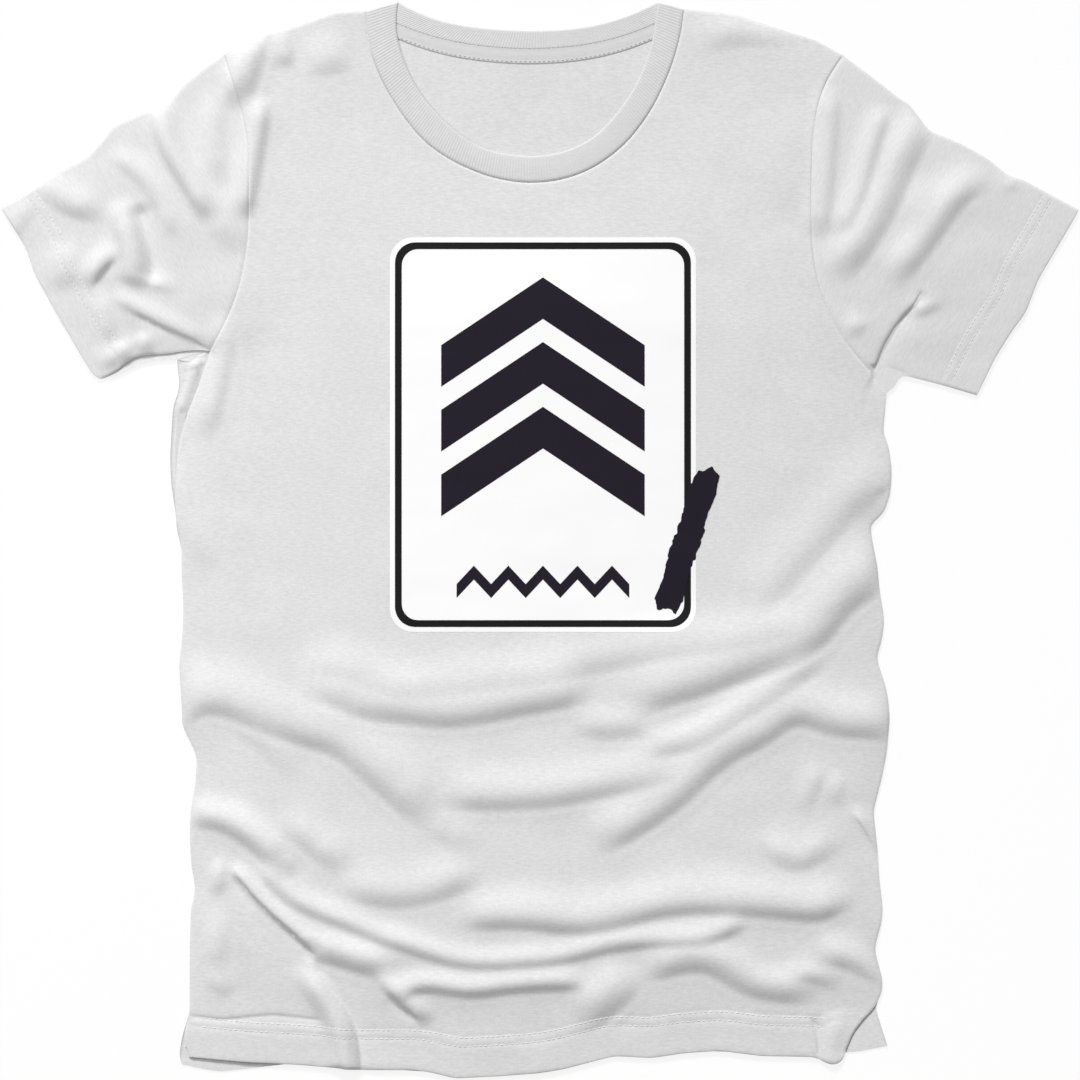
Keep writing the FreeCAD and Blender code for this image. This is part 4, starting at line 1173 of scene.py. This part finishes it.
def make_brush_stroke():
    """A rough stroke that runs over the side of the border."""
    start = np.array([PRINT_X + PRINT_WIDE / 2 - 20, PRINT_Y - PRINT_HIGH / 2 + 14])
    loop = closed_loop([
        start + BRUSH_WAY * (share * BRUSH_LONG) + BRUSH_LEFT * (offset * BRUSH_WIDE)
        for share, offset in BRUSH_OUTLINE
    ], 0.9)
    rough = ripples(loop, 3, 9, 1.6, 40) * 0.5
    outward = loop - (start + BRUSH_WAY * (BRUSH_LONG / 2))
    outward /= np.hypot(*outward.T)[:, None]
    loop = loop + outward * rough[:, None]
    return film("brush_stroke", loop[::-1], 3, dark_ink, "print_brush_stroke",
                2.0)


def make_print():
    """The white field, its border and the dark shapes."""
    field = film("field", rounded(0.0)[:-1], 1, white_ink, "print_field")
    films = [field, make_border()]
    top = PRINT_Y + PRINT_HIGH / 2 - CHEVRON_TOP
    for number, place in enumerate(("upper", "middle", "lower")):
        films.append(make_chevron(place, top - number * (CHEVRON_BAR + CHEVRON_GAP)))
    return films + [make_zigzag(), make_brush_stroke()]


def make_allowance(edge, side, node):
    """An overlocked seam allowance that lies inside, beside a closed edge."""
    line = E[edge][6:-6]
    near, far = inset_line(line, ALLOWANCE_NEAR, side), inset_line(line, ALLOWANCE_FAR, side)
    count = min(len(near), len(far))
    parts = ladder(
        evenly(near, count), evenly(far, count), np.array([0, 0.1, 0.5, 0.9, 1.0]),
        lambda p, u, v: CLOTH + 0.5 + 0.2 * (v % 2),
        lambda p, u, v: np.full(len(p), CLOTH + 0.03),
    )
    make_piece(node + "_overlock", parts, tape_cloth, node)


def make_floor():
    """A white floor that keeps the shirt's shadow."""
    bpy.ops.mesh.primitive_plane_add(size=9, location=(0, 0, -0.0004))
    floor = bpy.context.object
    floor.name = "floor"
    material, nodes, links, shader = new_material(
        "floor", Base_Color=(0.98, 0.98, 0.98, 1), Roughness=1.0, Specular_IOR_Level=0.0
    )
    white = add(nodes, "ShaderNodeEmission", Strength=1.0)
    path = add(nodes, "ShaderNodeLightPath")
    share = add(nodes, "ShaderNodeMath", operation="MULTIPLY")
    share.inputs[1].default_value = 0.85
    links.new(path.outputs["Is Camera Ray"], share.inputs[0])
    mix = add(nodes, "ShaderNodeMixShader")
    links.new(share.outputs[0], mix.inputs["Fac"])
    links.new(shader.outputs[0], mix.inputs[1])
    links.new(white.outputs[0], mix.inputs[2])
    links.new(mix.outputs[0], nodes["Material Output"].inputs["Surface"])
    floor.data.materials.append(material)


def make_light():
    """A white world and soft light from above the neck."""
    world = bpy.data.worlds.new("studio")
    bpy.context.scene.world = world
    world.use_nodes = True
    nodes, links = world.node_tree.nodes, world.node_tree.links
    plain = settle(nodes["Background"], Color=(1, 1, 1, 1))
    path = add(nodes, "ShaderNodeLightPath")
    strength = add(nodes, "ShaderNodeMapRange", To_Min=WORLD_LIGHT, To_Max=1.0)
    links.new(path.outputs["Is Camera Ray"], strength.inputs["Value"])
    links.new(strength.outputs["Result"], plain.inputs["Strength"])
    for name, kind, size, energy, place in LAMPS:
        light = bpy.data.lights.new(name, kind)
        if kind == "SUN":
            light.angle = np.radians(size)
        else:
            light.shape = "DISK"
            light.size = size
        light.energy = energy
        lamp = bpy.data.objects.new(name, light)
        lamp.location = place
        lamp.rotation_mode = "QUATERNION"
        lamp.rotation_quaternion = Vector(place).to_track_quat("Z", "Y")
        bpy.context.scene.collection.objects.link(lamp)


def make_camera():
    """A long lens that looks straight down."""
    data = bpy.data.cameras.new("camera")
    data.sensor_width = SENSOR
    data.lens = SENSOR * (CAMERA_HEIGHT - EDGE_TOP * MM) / VIEW_WIDE
    data.clip_end = 20.0
    camera = bpy.data.objects.new("camera", data)
    camera.location = (0, 0, CAMERA_HEIGHT)
    bpy.context.scene.collection.objects.link(camera)
    bpy.context.scene.camera = camera
    bpy.context.scene.view_settings.view_transform = "Standard"


make_camera()
back = make_back()
front = make_front()
right_sleeve = make_sleeve("right", jersey_right)
left_sleeve = make_sleeve("left", jersey_left)
make_collar()
tape = make_tape()
stitches, neck_stitches = make_stitches()
print_films = make_print()
make_allowance("right_side", 1, "right_side_seam")
make_allowance("left_front_side", 1, "left_side_seam")
make_allowance("right_shoulder", -1, "right_shoulder_seam")
make_allowance("left_shoulder", -1, "left_shoulder_seam")
make_floor()
make_light()
